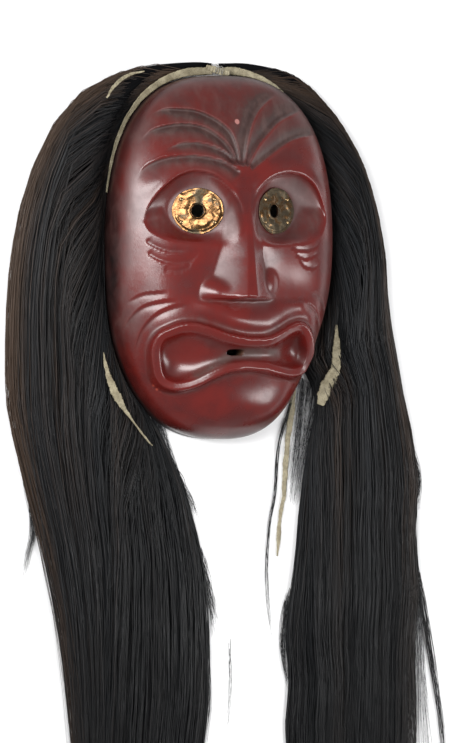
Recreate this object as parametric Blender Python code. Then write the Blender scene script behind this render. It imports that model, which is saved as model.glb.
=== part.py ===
"""A carved wooden mask with hammered eye discs, tail-hide strips and long horsehair.

The mask lies face up on its back rim. Units are metres: +Z points out of the face, +Y to the brow,
+X to the viewer's right. Everything is modelled in the face's own frame, with its origin in the middle
of the back plane, and moved at the end so that the whole part stands centred on the origin.
Lists of control points are in millimetres on a face of 171 by 260, and follow the face's real size.
"""

import math

import bmesh
import bpy
import numpy as np
from mathutils import Matrix, Vector
from mathutils.bvhtree import BVHTree

# Sides of the part, seen from the front: left is -X
SIDE_NAMES = {-1: "left", 1: "right"}

# Face: overall form
FACE_WIDTH = 0.171
FACE_HEIGHT = 0.260
DRAWN_SIZE_MM = (171.0, 260.0)
UPPER_OUTLINE_POWER = 2.65
LOWER_OUTLINE_POWER = 2.45
JAW_TAPER = (0.02, 0.09)
JAW_TAPER_START = 0.30
JAW_TAPER_LENGTH = 0.65
COLLAR_HEIGHT = 0.011
DOME_HEIGHT = 0.042
RIM_FADE_START = 0.93
HOLLOW_WALL = 0.0105
HOLLOW_COLLAR = 0.004
HOLLOW_DOME = 0.034
FACE_GRID = 117
HOLLOW_GRID = 17
FACE_TRIANGLE_SHARE = 0.132

# Nose, by stops from the flat base up to the brow
NOSE_STOPS_Y = (-0.031, 0.0, 0.0245, 0.036, 0.050)
NOSE_HEIGHTS = (0.0180, 0.0108, 0.0052, 0.0030, 0.0)
NOSE_CENTRE_X = (0.0008, 0.0031, 0.0037, 0.0032, 0.0020)
NOSE_CREST_HALF = (0.0037, 0.0020, 0.0014, 0.0026, 0.0060)
NOSE_FOOT_LEFT = (0.0280, 0.0220, 0.0160, 0.0120, 0.0100)
NOSE_FOOT_RIGHT = (0.0260, 0.0125, 0.0085, 0.0080, 0.0100)
NOSE_BASE_Y = -0.0312
NOSE_BASE_DROP = 0.0026
NOSTRIL_WING = dict(x=0.0195, y=-0.0245, across=0.0118, along=0.0140, height=0.0080, blend=0.0040)

# Eyes
EYE_X = FACE_WIDTH * 0.1743
EYE_Y = FACE_HEIGHT * 0.1270
EYE_DISC_HALF = (0.0187, 0.0166)
EYE_DISC_THICKNESS = 0.0009
EYE_DISC_TILT_DEG = 26.5
EYE_DISC_SEGMENTS = 28
PUPIL_SHIFTS = {-1: 0.0, 1: -0.0034}
EYE_SEAT_HEIGHT = 0.0425
EYE_SEAT_REACH = 1.09
EYE_SEAT_GAP = 0.0009
EYE_HOLE_RADIUS = 0.0047
EYE_HOLE_LIP = 0.0007
EYE_RINGS = ((1.5, 0.0), (1.15, 1.0))
WOOD_HOLE_RADIUS = 0.0075
SOCKET_STEP = 0.0022
SOCKET_STEP_WIDTH = 0.0026
SOCKET_CURVE = 0.45
SOCKET_LEFT = (
    (-69.0, 27.0), (-65.0, 37.3), (-56.5, 49.0), (-45.5, 58.2), (-33.0, 62.0), (-18.5, 59.0),
    (-7.5, 50.3), (-1.0, 40.0),
    (0.8, 30.0), (-0.5, 18.0), (-8.0, 9.0), (-22.0, 9.0), (-35.0, 10.0), (-46.5, 11.0), (-57.4, 14.0),
    (-66.0, 19.4),
)
SOCKET_RIGHT = (
    (73.5, 28.0), (72.0, 36.0), (68.3, 44.0), (62.0, 52.6), (53.5, 58.4), (42.2, 61.0), (31.5, 60.0),
    (21.0, 55.5),
    (12.5, 47.0), (7.8, 37.0), (6.4, 24.0), (9.0, 13.0), (22.9, 8.5), (39.5, 8.7), (55.4, 10.4),
    (66.5, 15.2), (72.2, 22.0),
)
BROW_ROLL = dict(outside=0.0050, spread=0.0060, height=0.0011)
LID_RISE = dict(points=((-69.0, 27.0), (-60.0, 29.0), (-46.0, 30.0)), width=0.0050, height=0.0016)
TACK_ANGLES_DEG = (38.0, 142.0, 218.0, 322.0)
TACK_RING = 0.80
TACK_HEAD_RADIUS = 0.0013
TACK_HEAD_HEIGHT = 0.0009
TACK_SIDES = 8
TACK_GAP = 0.00005

# Mouth
MOUTH_RIM = (
    (-62.8, -66.0), (-59.5, -56.0), (-52.0, -51.2), (-43.6, -48.3), (-34.5, -48.3), (-25.1, -50.8),
    (-14.4, -54.6),
    (-3.9, -57.2), (8.0, -58.6), (21.0, -57.8), (31.7, -53.5), (40.9, -49.0), (49.5, -47.6),
    (56.5, -52.0), (60.6, -61.2),
    (61.6, -70.5), (58.5, -79.5), (52.7, -83.6), (42.5, -84.8), (29.0, -82.7), (18.2, -80.6),
    (5.5, -79.8), (-8.5, -81.4),
    (-19.7, -86.0), (-29.6, -91.3), (-39.5, -94.4), (-48.0, -94.2), (-55.6, -90.2), (-60.4, -81.0),
)
LIP_HEIGHT = 0.0054
LIP_OUTER_SLOPE = 0.0036
LIP_OUTER_CURVE = 1.4
LIP_BAND = 0.0050
LIP_BAND_DROP = 0.0026
MOUTH_BOWL_DEPTH = 0.0056
MOUTH_BOWL_SLOPE = 0.0044
MOUTH_BOWLS = (
    dict(x=-0.0430, y=-0.0715, across=0.0145, along=0.0130, height=-0.0045),
    dict(x=0.0470, y=-0.0665, across=0.0120, along=0.0120, height=-0.0040),
)
UPPER_LIP_ROLL = dict(outside=0.0135, spread=0.0072, height=0.0021)
LIP_TRENCH = dict(outside=0.0050, spread=0.0028, depth=0.0008)
LIP_ROLL_ENDS = (-0.040, 0.062)
MUZZLE = dict(x=0.0, y=-0.062, across=0.044, along=0.030, height=0.0062)
CHIN = dict(x=0.006, y=-0.110, across=0.032, along=0.014, height=0.0052)
MOUTH_SLOT = dict(x=-0.003, y=-0.0680, length=0.0165, width=0.0052)

# Knife lines; side tells which side of the line the hollow lies on, walking along the points, and
# each group has the shares of its length over which the cut deepens and dies away
LEFT_FURROWS = (
    dict(points=((-62.0, 99.5), (-56.3, 103.5), (-48.3, 106.3), (-37.6, 106.3), (-26.5, 104.9),
                 (-14.7, 99.5), (-5.1, 92.0),
                 (-0.6, 84.1), (2.2, 73.4), (3.1, 65.5)), side=-1, width=0.0095, depth=0.0026),
    dict(points=((-68.4, 82.0), (-63.7, 87.7), (-57.7, 92.0), (-47.0, 94.9), (-35.1, 95.6),
                 (-23.8, 93.4), (-14.0, 87.7),
                 (-5.0, 79.1), (0.9, 67.7)), side=-1, width=0.0090, depth=0.0026),
    dict(points=((-56.5, 74.1), (-52.3, 77.0), (-41.0, 81.6), (-29.5, 82.0), (-17.2, 79.1),
                 (-5.5, 73.4), (0.7, 65.5)),
         side=-1, width=0.0078, depth=0.0018),
    dict(points=((-73.0, 54.0), (-66.6, 64.8), (-53.5, 71.2), (-41.8, 72.7), (-30.4, 72.7),
                 (-14.3, 69.8), (-3.2, 64.8),
                 (2.7, 59.8)), side=-1, width=0.0095, depth=0.0022),
)
RIGHT_FURROWS = (
    dict(points=((5.0, 63.5), (10.1, 85.9), (18.2, 102.0), (28.1, 110.9), (40.8, 117.1)),
         side=1, width=0.0120, depth=0.0028),
    dict(points=((7.0, 63.0), (15.0, 77.0), (25.8, 88.4), (39.1, 98.5), (64.8, 107.0)),
         side=1, width=0.0115, depth=0.0028),
    dict(points=((9.5, 61.0), (21.5, 69.8), (40.0, 81.3), (54.9, 86.0), (75.7, 87.6)),
         side=1, width=0.0110, depth=0.0024),
)
EYE_WRINKLES = (
    dict(points=((-68.3, 11.4), (-65.7, 8.9), (-61.1, 6.2), (-54.4, 3.5), (-46.0, 2.6), (-37.0, 3.5)),
         side=1, width=0.0058, depth=0.0015),
    dict(points=((-67.6, 2.2), (-61.1, -2.0), (-54.4, -4.7), (-46.0, -5.7), (-37.0, -3.8), (-32.0, 1.8),
                 (-30.2, 7.5)),
         side=1, width=0.0058, depth=0.0015),
    dict(points=((-56.1, -10.2), (-47.6, -11.7), (-38.7, -8.2), (-35.1, -1.1)),
         side=1, width=0.0058, depth=0.0008),
    dict(points=((39.2, 6.2), (49.2, 3.9), (61.1, 5.7), (68.2, 11.0)), side=1, width=0.0060, depth=0.0022),
    dict(points=((43.6, 0.8), (53.8, -1.7), (66.5, 2.2)), side=1, width=0.0060, depth=0.0022),
    dict(points=((46.9, -2.0), (52.2, -7.1), (61.1, -8.5), (67.1, -4.7)),
         side=1, width=0.0060, depth=0.0020),
)
CHEEK_FOLDS = (
    dict(points=((-52.0, -24.5), (-60.8, -25.0), (-70.4, -26.6), (-79.5, -33.0)),
         side=1, width=0.0060, depth=0.0008),
    dict(points=((-44.0, -30.0), (-57.3, -31.4), (-68.5, -34.8), (-75.0, -41.6), (-78.7, -50.4),
                 (-79.6, -61.0)),
         side=1, width=0.0070, depth=0.0013),
    dict(points=((-38.0, -33.0), (-50.1, -35.2), (-61.2, -41.0), (-68.1, -49.9), (-71.2, -59.9),
                 (-71.6, -72.0)),
         side=1, width=0.0075, depth=0.0013),
    dict(points=((57.0, -25.0), (66.0, -26.0), (74.0, -33.0), (77.0, -44.0)),
         side=-1, width=0.0060, depth=0.0009),
    dict(points=((50.0, -31.0), (60.0, -34.0), (68.5, -42.0), (72.5, -55.0)),
         side=-1, width=0.0070, depth=0.0012),
)
LINE_GROUPS = (
    (LEFT_FURROWS, (0.32, 0.05)), (RIGHT_FURROWS, (0.05, 0.35)), (EYE_WRINKLES, (0.06, 0.30)),
    (CHEEK_FOLDS, (0.25, 0.25)),
)
SCOOP_RISE = 0.45
SCOOP_WALL = 0.12
SCOOP_SCALE = 2.10
CREST_SHARE = 0.14
CREST_REACH = 0.14

# Hide strips along the rim
STRIP_GAP = 0.0010
STRIP_LEVEL = 0.0034
STRIP_THICKNESS = 0.0022
STRIP_WIDTHS = (0.0050, 0.0058, 0.0036, 0.0012)
STRIP_WIDTH_STOPS = (0.0, 0.2, 0.6, 1.0)
STRIP_ANGLES_LEFT = (2.5, 70.0)
STRIP_ANGLES_RIGHT = (2.5, 33.0)
STRIP_STATIONS = 22
CROSSING = dict(
    points=((-9.5, 136.6), (-3.0, 134.4), (3.5, 132.6), (8.0, 132.0)),
    half_widths=(0.0021, 0.0021), thickness=0.0017)
THONG = dict(
    points=((-90.5, 113.5), (-84.6, 121.5), (-72.3, 129.6), (-59.9, 132.8)),
    half_widths=(0.0006, 0.0012, 0.0007), thickness=0.0014)
LOOSE_END_LEFT = dict(
    points=((-91.0, -68.0), (-89.6, -80.0), (-84.6, -95.5), (-76.0, -109.5), (-66.5, -121.0),
            (-53.5, -134.5)),
    half_widths=(0.0006, 0.0020, 0.0032, 0.0022, 0.0010, 0.0005), thickness=0.0016)
LOOSE_END_RIGHT = dict(
    points=((92.5, -48.0), (92.3, -64.0), (90.8, -80.0), (86.5, -92.0), (82.0, -102.5), (77.0, -111.5)),
    half_widths=(0.0016, 0.0034, 0.0046, 0.0056, 0.0052, 0.0030), thickness=0.0017)
LONG_STRIP = dict(
    points=((70.5, -93.0), (60.5, -107.0), (52.5, -121.5), (48.5, -136.0), (47.6, -154.0), (48.6, -172.0),
            (46.8, -193.0), (43.8, -214.0)),
    half_widths=(0.0018, 0.0030, 0.0034, 0.0030, 0.0026, 0.0022, 0.0016, 0.0004), thickness=0.0020)

# Horsehair
HAIR_GAP = 0.0018
HAIR_ROOT_SHELF = 0.0028
HAIR_EDGE_HEIGHT = 0.0040
HAIR_MIDDLE_HEIGHT = 0.0200
HAIR_TIP_HEIGHT = 0.0030
HAIR_FULL_WIDTH = 0.040
HAIR_STRIP_MARGIN = 0.0020
HAIR_STRIP_RISE = 0.010
HAIR_TIP_Y = -452.0
HAIR_TIP_NOTCH = 0.115
HAIR_LOCKS = 7
HAIR_LOCK_LENGTHS = (0.30, 0.85, 0.55, 1.00, 0.45, 0.80, 0.20)
HAIR_LOCK_DEPTH = 0.30
HAIR_RIM_SHARE = 0.44
HAIR_RIM_ROWS = 16
HAIR_FREE_ROWS = 11
HAIR_RIM_ANGLES = (3.0, 16.0, 30.0, 44.0, 58.0, 73.0, 88.0, 102.0, 114.0)
HAIR_INNER_LEFT = ((-72.0, -104.0), (-56.0, -119.0), (-37.8, -137.0), (-24.5, -165.0), (-16.5, -193.0),
                   (-10.0, -222.0), (-7.0, -252.0), (-5.4, -284.0), (-5.4, -321.0), (-8.4, -347.0),
                   (-18.0, HAIR_TIP_Y))
HAIR_OUTER_LEFT = (
    (-3.0, 139.5), (-16.9, 140.4), (-50.0, 138.0), (-74.1, 132.1), (-100.3, 119.9), (-118.9, 102.7),
    (-130.5, 84.1), (-139.0, 66.9),
    (-145.9, 49.8), (-151.3, 29.7), (-156.0, 4.7), (-159.1, -21.8), (-160.4, -52.6), (-160.6, -76.3),
    (-159.8, -102.0), (-155.5, -125.7),
    (-148.0, -153.6), (-140.5, -180.0), (-133.5, -203.7), (-127.4, -232.3), (-122.7, -251.0),
    (-119.0, -275.0), (-114.5, -306.0), (-110.0, -347.6), (-96.0, HAIR_TIP_Y),
)
HAIR_INNER_RIGHT = ((83.5, -100.0), (77.5, -115.0), (73.0, -130.0), (69.6, -150.0), (65.7, -178.0),
                    (62.5, -212.0), (59.0, -240.0), (56.0, -262.0), (55.6, -284.0), (57.5, -300.0),
                    (56.2, -322.0), (55.5, -348.0), (66.0, HAIR_TIP_Y))
HAIR_OUTER_RIGHT = (
    (3.0, 139.5), (27.1, 139.3), (58.0, 132.1), (80.0, 115.6), (95.8, 97.0), (109.7, 74.8),
    (119.8, 49.8), (125.9, 26.9),
    (130.6, 1.8), (132.2, -23.3), (134.4, -44.8), (139.8, -72.7), (145.2, -102.0), (150.7, -124.0),
    (155.5, -153.6), (155.5, -170.0),
    (153.5, -190.0), (155.0, -215.0), (156.5, -240.0), (154.0, -268.0), (153.0, -290.0), (154.5, -347.6),
    (146.0, HAIR_TIP_Y),
)
WISPS = (
    dict(name="hair_wisp_outer_left", points=((-151.5, -171.0), (-153.5, -188.0), (-152.5, -206.0),
             (-150.0, -228.0)), half_widths=(0.0012, 0.0020, 0.0016, 0.0004), thickness=0.0028),
    dict(name="hair_wisp_outer_right", points=((161.5, -222.0), (164.5, -252.0), (169.0, -284.0),
             (174.0, -314.0), (178.0, -348.0), (179.0, -392.0)),
             half_widths=(0.0012, 0.0026, 0.0030, 0.0028, 0.0022, 0.0004), thickness=0.0034),
    dict(name="hair_wisp_centre", points=((41.0, -132.0), (42.2, -152.0), (41.0, -176.0), (38.6, -204.0),
             (38.0, -235.0), (42.8, -276.0)),
             half_widths=(0.0012, 0.0016, 0.0017, 0.0017, 0.0014, 0.0004), thickness=0.0022),
)

ORIGIN_HEIGHT = 0.0
CUT_MARGIN = 0.010
SCALE_X = FACE_WIDTH / DRAWN_SIZE_MM[0]
SCALE_Y = FACE_HEIGHT / DRAWN_SIZE_MM[1]


def smooth(value):
    """Smoothstep, clamped to the range from 0 to 1."""
    t = np.clip(value, 0.0, 1.0)
    return t * t * (3.0 - 2.0 * t)


def placed(points_mm):
    """Control points drawn in millimetres, scaled to the face's real size in metres."""
    return np.array([(x * SCALE_X, y * SCALE_Y) for x, y in points_mm])


def flowing(points, per_span=8, closed=False):
    """A Catmull-Rom curve through 2-D points."""
    points = np.asarray(points, dtype=float)
    count = len(points)
    if closed:
        padded = np.vstack([points[-1], points, points[0], points[1]])
    else:
        padded = np.vstack([2 * points[0] - points[1], points, 2 * points[-1] - points[-2]])
    spans = count if closed else count - 1
    out = []
    for i in range(spans):
        p0, p1, p2, p3 = padded[i:i + 4]
        bend, twist = 2 * p0 - 5 * p1 + 4 * p2 - p3, 3 * p1 - p0 - 3 * p2 + p3
        for t in np.arange(per_span) / per_span:
            out.append(0.5 * (2 * p1 + (p2 - p0) * t + bend * t ** 2 + twist * t ** 3))
    if not closed:
        out.append(points[-1])
    return np.array(out)


def at_fraction(path, fractions):
    """Points at given fractions of a path's length."""
    steps = np.hypot(*np.diff(path, axis=0).T)
    length = np.concatenate([[0.0], np.cumsum(steps)])
    length /= length[-1]
    return np.stack([np.interp(fractions, length, path[:, k]) for k in (0, 1)], axis=-1)


def line_measures(x, y, path, closed=False):
    """Distance to a path, which side it lies on, and how far along, for arrays of points."""
    best = np.full(x.shape, np.inf)
    side = np.zeros(x.shape)
    along = np.zeros(x.shape)
    ends = np.roll(path, -1, axis=0) if closed else path[1:]
    starts = path if closed else path[:-1]
    total = np.hypot(*(ends - starts).T).sum()
    done = 0.0
    for a, b in zip(starts, ends):
        d = b - a
        size = math.hypot(*d)
        t = np.clip(((x - a[0]) * d[0] + (y - a[1]) * d[1]) / (size * size), 0.0, 1.0)
        gap = np.hypot(x - a[0] - t * d[0], y - a[1] - t * d[1])
        near = gap < best
        best = np.where(near, gap, best)
        side = np.where(near, np.sign(d[0] * (y - a[1]) - d[1] * (x - a[0])), side)
        along = np.where(near, (done + t * size) / total, along)
        done += size
    return best, side, along


def inside_distance(x, y, outline):
    """Signed distance to a closed outline, positive inside."""
    gap, _, _ = line_measures(x, y, outline, closed=True)
    inside = np.zeros(x.shape, dtype=bool)
    previous = outline[-1]
    for point in outline:
        crosses = (point[1] > y) != (previous[1] > y)
        rise = previous[1] - point[1]
        rise = rise if abs(rise) > 1e-12 else 1e-12
        inside ^= crosses & (x < (previous[0] - point[0]) * (y - point[1]) / rise + point[0])
        previous = point
    return np.where(inside, gap, -gap)


def rim(angle, shrink=0.0):
    """A point of the face's outline at an angle from +X, drawn in by a wall thickness."""
    c, s = np.cos(angle), np.sin(angle)
    power = np.where(s >= 0.0, UPPER_OUTLINE_POWER, LOWER_OUTLINE_POWER)
    reach = (np.abs(c) ** power + np.abs(s) ** power) ** (-1.0 / power)
    into_jaw = smooth((-s * reach - JAW_TAPER_START) / JAW_TAPER_LENGTH)
    taper = np.where(c < 0.0, JAW_TAPER[0], JAW_TAPER[1]) * into_jaw
    return (FACE_WIDTH / 2 - shrink) * c * reach * (1.0 - taper), (FACE_HEIGHT / 2 - shrink) * s * reach


def rim_offset(degrees_from_top, side, distance):
    """A point beside the rim, by its angle from the brow toward one side and its distance outward."""
    angle = math.pi / 2 - side * math.radians(degrees_from_top)
    step = 0.002
    ahead, behind = np.array(rim(angle + step)), np.array(rim(angle - step))
    tangent = (ahead - behind) / np.linalg.norm(ahead - behind)
    normal = np.array([tangent[1], -tangent[0]])
    return np.array(rim(angle)) + normal * distance


def disc_grid(count):
    """A square grid laid over the unit disc, as radius and angle arrays."""
    line = np.linspace(-1.0, 1.0, count)
    u, v = np.meshgrid(line, line, indexing="ij")
    dx, dy = u * np.sqrt(1.0 - v * v / 2.0), v * np.sqrt(1.0 - u * u / 2.0)
    return np.minimum(np.hypot(dx, dy), 1.0), np.arctan2(dy, dx)


def carved_lines(x, y):
    """Furrows and wrinkles: a steep drop beside each line, then a slow rise."""
    height = np.zeros(x.shape)
    for lines, (fade_in, fade_out) in LINE_GROUPS:
        for line in lines:
            gap, side, along = line_measures(x, y, flowing(placed(line["points"]), 5))
            across = gap * side * line["side"] / line["width"]
            fade = smooth(along / fade_in) * smooth((1.0 - along) / fade_out)
            into = np.maximum(across, 0.0)
            scoop = SCOOP_SCALE * (np.exp(-into / SCOOP_RISE) - np.exp(-into / SCOOP_WALL))
            crest = CREST_SHARE * np.exp(-(across / CREST_REACH) ** 2)
            height += line["depth"] * fade * (crest - scoop)
    return height


def bump(x, y, spec):
    """A soft rounded swelling."""
    r = np.hypot((x - spec["x"]) / spec["across"], (y - spec["y"]) / spec["along"])
    return spec["height"] * np.exp(-r ** 2)


def roll(distance, spec, size):
    """A soft bank that runs beside an outline, by the distance to it."""
    return spec[size] * np.exp(-((distance + spec["outside"]) / spec["spread"]) ** 2)


def nose(x, y):
    """The nose: a leaning crest from brow to tip, with wings beside a flat undercut base."""
    crest, centre, half, left, right = (
        np.interp(y, NOSE_STOPS_Y, stops)
        for stops in (NOSE_HEIGHTS, NOSE_CENTRE_X, NOSE_CREST_HALF, NOSE_FOOT_LEFT, NOSE_FOOT_RIGHT))
    foot = np.where(x < centre, left, right)
    slope = np.clip((np.abs(x - centre) - half) / (foot - half), 0.0, 1.0)
    ridge = crest * (1.0 - 0.45 * smooth(slope) - 0.55 * slope)
    wing_x = (np.abs(x) - NOSTRIL_WING["x"]) / NOSTRIL_WING["across"]
    wing_y = (y - NOSTRIL_WING["y"]) / NOSTRIL_WING["along"]
    wing = NOSTRIL_WING["height"] * np.clip(1.0 - wing_x ** 2 - wing_y ** 2, 0.0, 1.0) ** 1.15
    blend = NOSTRIL_WING["blend"]
    overlap = np.maximum(blend - np.abs(ridge - wing), 0.0) ** 2 / (4.0 * blend)
    joined = np.maximum(ridge, wing) + overlap * smooth(np.minimum(ridge, wing) / blend)
    return joined * smooth((y - NOSE_BASE_Y) / NOSE_BASE_DROP)


def sockets(x, y, z):
    """Cut both eye sockets: each falls from its outline to a flat seat, tilted outward."""
    for mirror, outline in ((-1, SOCKET_LEFT), (1, SOCKET_RIGHT)):
        inside = inside_distance(x, y, flowing(placed(outline), 5, closed=True))
        z = z + smooth((y - EYE_Y - 0.006) / 0.016) * roll(inside, BROW_ROLL, "height")
        gap, _, along = line_measures(x * -mirror, y, flowing(placed(LID_RISE["points"]), 5))
        lids = LID_RISE["height"] * np.exp(-(gap / LID_RISE["width"]) ** 2) * smooth(along / 0.3 + 0.4)
        crisp = smooth((y - EYE_Y + 0.012) / 0.016)
        step = SOCKET_STEP * crisp * smooth(inside / SOCKET_STEP_WIDTH)
        reach = np.hypot((x - mirror * EYE_X) / EYE_DISC_HALF[0], (y - EYE_Y) / EYE_DISC_HALF[1])
        beyond = np.maximum(reach - EYE_SEAT_REACH, 0.0) * EYE_DISC_HALF[1]
        share = beyond / np.maximum(beyond + np.maximum(inside, 0.0), 1e-9)
        seat = EYE_SEAT_HEIGHT - (x * mirror - EYE_X) * math.tan(math.radians(EYE_DISC_TILT_DEG))
        seated = seat + (z - step - seat) * share ** (1.0 + SOCKET_CURVE * crisp) + lids * smooth(share / 0.3)
        z = np.where(inside > 0.0, seated, z)
    return z


def mouth(x, y, z):
    """Raise the edge of the lips, slope the band inside it and hollow the two bowls."""
    inside = inside_distance(x, y, flowing(placed(MOUTH_RIM), 5, closed=True))
    lip = LIP_HEIGHT * np.clip(1.0 + inside / LIP_OUTER_SLOPE, 0.0, 1.0) ** LIP_OUTER_CURVE
    band = LIP_BAND_DROP * np.clip(inside / LIP_BAND, 0.0, 1.0)
    fall = 1.0 - np.exp(-np.maximum(inside - LIP_BAND, 0.0) / MOUTH_BOWL_SLOPE)
    z = z + lip - band - (LIP_HEIGHT - LIP_BAND_DROP + MOUTH_BOWL_DEPTH) * fall
    for bowl in MOUTH_BOWLS:
        z = z + bump(x, y, bowl) * smooth((inside - LIP_BAND) / LIP_BAND)
    above = smooth((x - LIP_ROLL_ENDS[0]) / 0.020) * smooth((LIP_ROLL_ENDS[1] - x) / 0.014)
    above = above * smooth((y + 0.066) / 0.010)
    under_nose = smooth((NOSE_BASE_Y + 0.002 - y) / 0.005)
    bank = under_nose * roll(inside, UPPER_LIP_ROLL, "height")
    return z + above * (bank - roll(inside, LIP_TRENCH, "depth"))


def relief(x, y, dome):
    """Height of the carved face over its back plane, given the plain dome's height there."""
    z = dome + carved_lines(x, y) + bump(x, y, MUZZLE) + bump(x, y, CHIN)
    return mouth(x, y, sockets(x, y, z) + nose(x, y))


def face_points(radius, angle):
    """The outer surface over the unit disc."""
    edge_x, edge_y = rim(angle)
    spread, rise = np.sin(radius * math.pi / 2), np.cos(radius * math.pi / 2)
    x, y = edge_x * spread, edge_y * spread
    dome = COLLAR_HEIGHT + DOME_HEIGHT * rise
    fade = 1.0 - smooth((spread - RIM_FADE_START) / (1.0 - RIM_FADE_START))
    return x, y, dome + (relief(x, y, dome) - dome) * fade


def domed_solid(name, points, count, floor):
    """A closed solid from a square grid of surface points and a flat base below its edge."""
    x, y, z = (np.asarray(a).reshape(-1) for a in points)
    mesh = bmesh.new()
    verts = [mesh.verts.new(p) for p in zip(x.tolist(), y.tolist(), z.tolist())]
    index = lambda i, j: verts[i * count + j]
    for i in range(count - 1):
        for j in range(count - 1):
            mesh.faces.new((index(i, j), index(i + 1, j), index(i + 1, j + 1), index(i, j + 1)))
    last = count - 1
    edge = [(i, 0) for i in range(last)] + [(last, j) for j in range(last)]
    edge += [(i, last) for i in range(last, 0, -1)] + [(0, j) for j in range(last, 0, -1)]
    border = [index(i, j) for i, j in edge]
    low = [mesh.verts.new((v.co.x, v.co.y, floor)) for v in border]
    for k in range(len(border)):
        n = (k + 1) % len(border)
        mesh.faces.new((border[n], border[k], low[k], low[n]))
    mesh.faces.new(list(reversed(low)))
    bmesh.ops.recalc_face_normals(mesh, faces=mesh.faces)
    return finished(name, mesh)


def finished(name, mesh):
    """Turn a working mesh into a named object in the scene."""
    data = bpy.data.meshes.new(name)
    mesh.to_mesh(data)
    mesh.free()
    obj = bpy.data.objects.new(name, data)
    bpy.context.scene.collection.objects.link(obj)
    return obj


def material(name, colour, rough, metal=0.0):
    mat = bpy.data.materials.new(name)
    mat.use_nodes = True
    shader = mat.node_tree.nodes["Principled BSDF"]
    shader.inputs["Base Color"].default_value = (*colour, 1.0)
    shader.inputs["Roughness"].default_value = rough
    shader.inputs["Metallic"].default_value = metal
    return mat


def cut(target, cutter):
    """Take one solid out of another with a live modifier."""
    cutter.hide_render = True
    cutter.display_type = "WIRE"
    modifier = target.modifiers.new(cutter.name, "BOOLEAN")
    modifier.operation = "DIFFERENCE"
    modifier.solver = "EXACT"
    modifier.object = cutter


def box(name, centre, size):
    mesh = bmesh.new()
    bmesh.ops.create_cube(mesh, size=1.0)
    bmesh.ops.scale(mesh, vec=size, verts=mesh.verts)
    bmesh.ops.translate(mesh, vec=centre, verts=mesh.verts)
    return finished(name, mesh)


def cylinder(name, centre, radius, depth, segments=20):
    mesh = bmesh.new()
    bmesh.ops.create_cone(mesh, cap_ends=True, segments=segments, radius1=radius, radius2=radius, depth=depth)
    bmesh.ops.translate(mesh, vec=centre, verts=mesh.verts)
    return finished(name, mesh)


def make_face():
    """The carved face: a shell with a hollow back, pierced at both eyes and at the mouth."""
    surface = face_points(*disc_grid(FACE_GRID))
    face = domed_solid("face", surface, FACE_GRID, -CUT_MARGIN / 2)
    thin = face.modifiers.new("lighter", "DECIMATE")
    thin.ratio = FACE_TRIANGLE_SHARE
    radius, angle = disc_grid(HOLLOW_GRID)
    edge_x, edge_y = rim(angle, HOLLOW_WALL)
    spread, rise = np.sin(radius * math.pi / 2), np.cos(radius * math.pi / 2)
    hollow_points = (edge_x * spread, edge_y * spread, HOLLOW_COLLAR + HOLLOW_DOME * rise)
    cut(face, domed_solid("cut_hollow", hollow_points, HOLLOW_GRID, -CUT_MARGIN))
    floor_size = (FACE_WIDTH * 1.2, FACE_HEIGHT * 1.2, 2 * CUT_MARGIN)
    cut(face, box("cut_floor", (0.0, 0.0, -CUT_MARGIN), floor_size))
    for side in (-1, 1):
        sight = cylinder(f"cut_eye_{SIDE_NAMES[side]}", pupil_place(side), WOOD_HOLE_RADIUS, 4 * CUT_MARGIN)
        cut(face, sight)
    slot_place = (MOUTH_SLOT["x"], MOUTH_SLOT["y"], COLLAR_HEIGHT + DOME_HEIGHT * 0.6)
    cut(face, box("cut_mouth", slot_place, (MOUTH_SLOT["length"], MOUTH_SLOT["width"], 5 * CUT_MARGIN)))
    return face


def disc_frame(side):
    """The plane of one eye disc: centre of its seat, and its tilt outward."""
    tilt = Matrix.Rotation(side * math.radians(EYE_DISC_TILT_DEG), 4, "Y")
    return Matrix.Translation((side * EYE_X, EYE_Y, EYE_SEAT_HEIGHT)) @ tilt


def pupil_place(side):
    """The middle of the sight hole on the seat."""
    return disc_frame(side) @ Vector((PUPIL_SHIFTS[side], 0.0, 0.0))


def oval(half_x, half_y, shift, height):
    """One ring of points around a disc, flat in its plane."""
    angles = 2 * math.pi * np.arange(EYE_DISC_SEGMENTS) / EYE_DISC_SEGMENTS
    return [Vector((shift + half_x * math.cos(a), half_y * math.sin(a), height)) for a in angles]


def make_eye_disc(side):
    """A thin oval disc with a round sight hole, laid on its tilted seat."""
    half_x, half_y = EYE_DISC_HALF
    shift, top = PUPIL_SHIFTS[side], EYE_DISC_THICKNESS
    rings = [oval(half_x, half_y, 0.0, 0.0), oval(half_x * 0.985, half_y * 0.985, 0.0, top)]
    for size, lip in EYE_RINGS:
        rings.append(oval(EYE_HOLE_RADIUS * size, EYE_HOLE_RADIUS * size, shift, top + lip * EYE_HOLE_LIP))
    rings.append(oval(EYE_HOLE_RADIUS, EYE_HOLE_RADIUS, shift, 0.0))
    mesh = bmesh.new()
    loops = [[mesh.verts.new(p) for p in ring] for ring in rings]
    for n in range(len(loops)):
        near, far = loops[n], loops[(n + 1) % len(loops)]
        for k in range(EYE_DISC_SEGMENTS):
            m = (k + 1) % EYE_DISC_SEGMENTS
            mesh.faces.new((near[k], near[m], far[m], far[k]))
    lifted = disc_frame(side) @ Matrix.Translation((0.0, 0.0, EYE_SEAT_GAP))
    bmesh.ops.transform(mesh, matrix=lifted, verts=mesh.verts)
    bmesh.ops.recalc_face_normals(mesh, faces=mesh.faces)
    return finished(f"eye_disc_{SIDE_NAMES[side]}", mesh)


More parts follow.
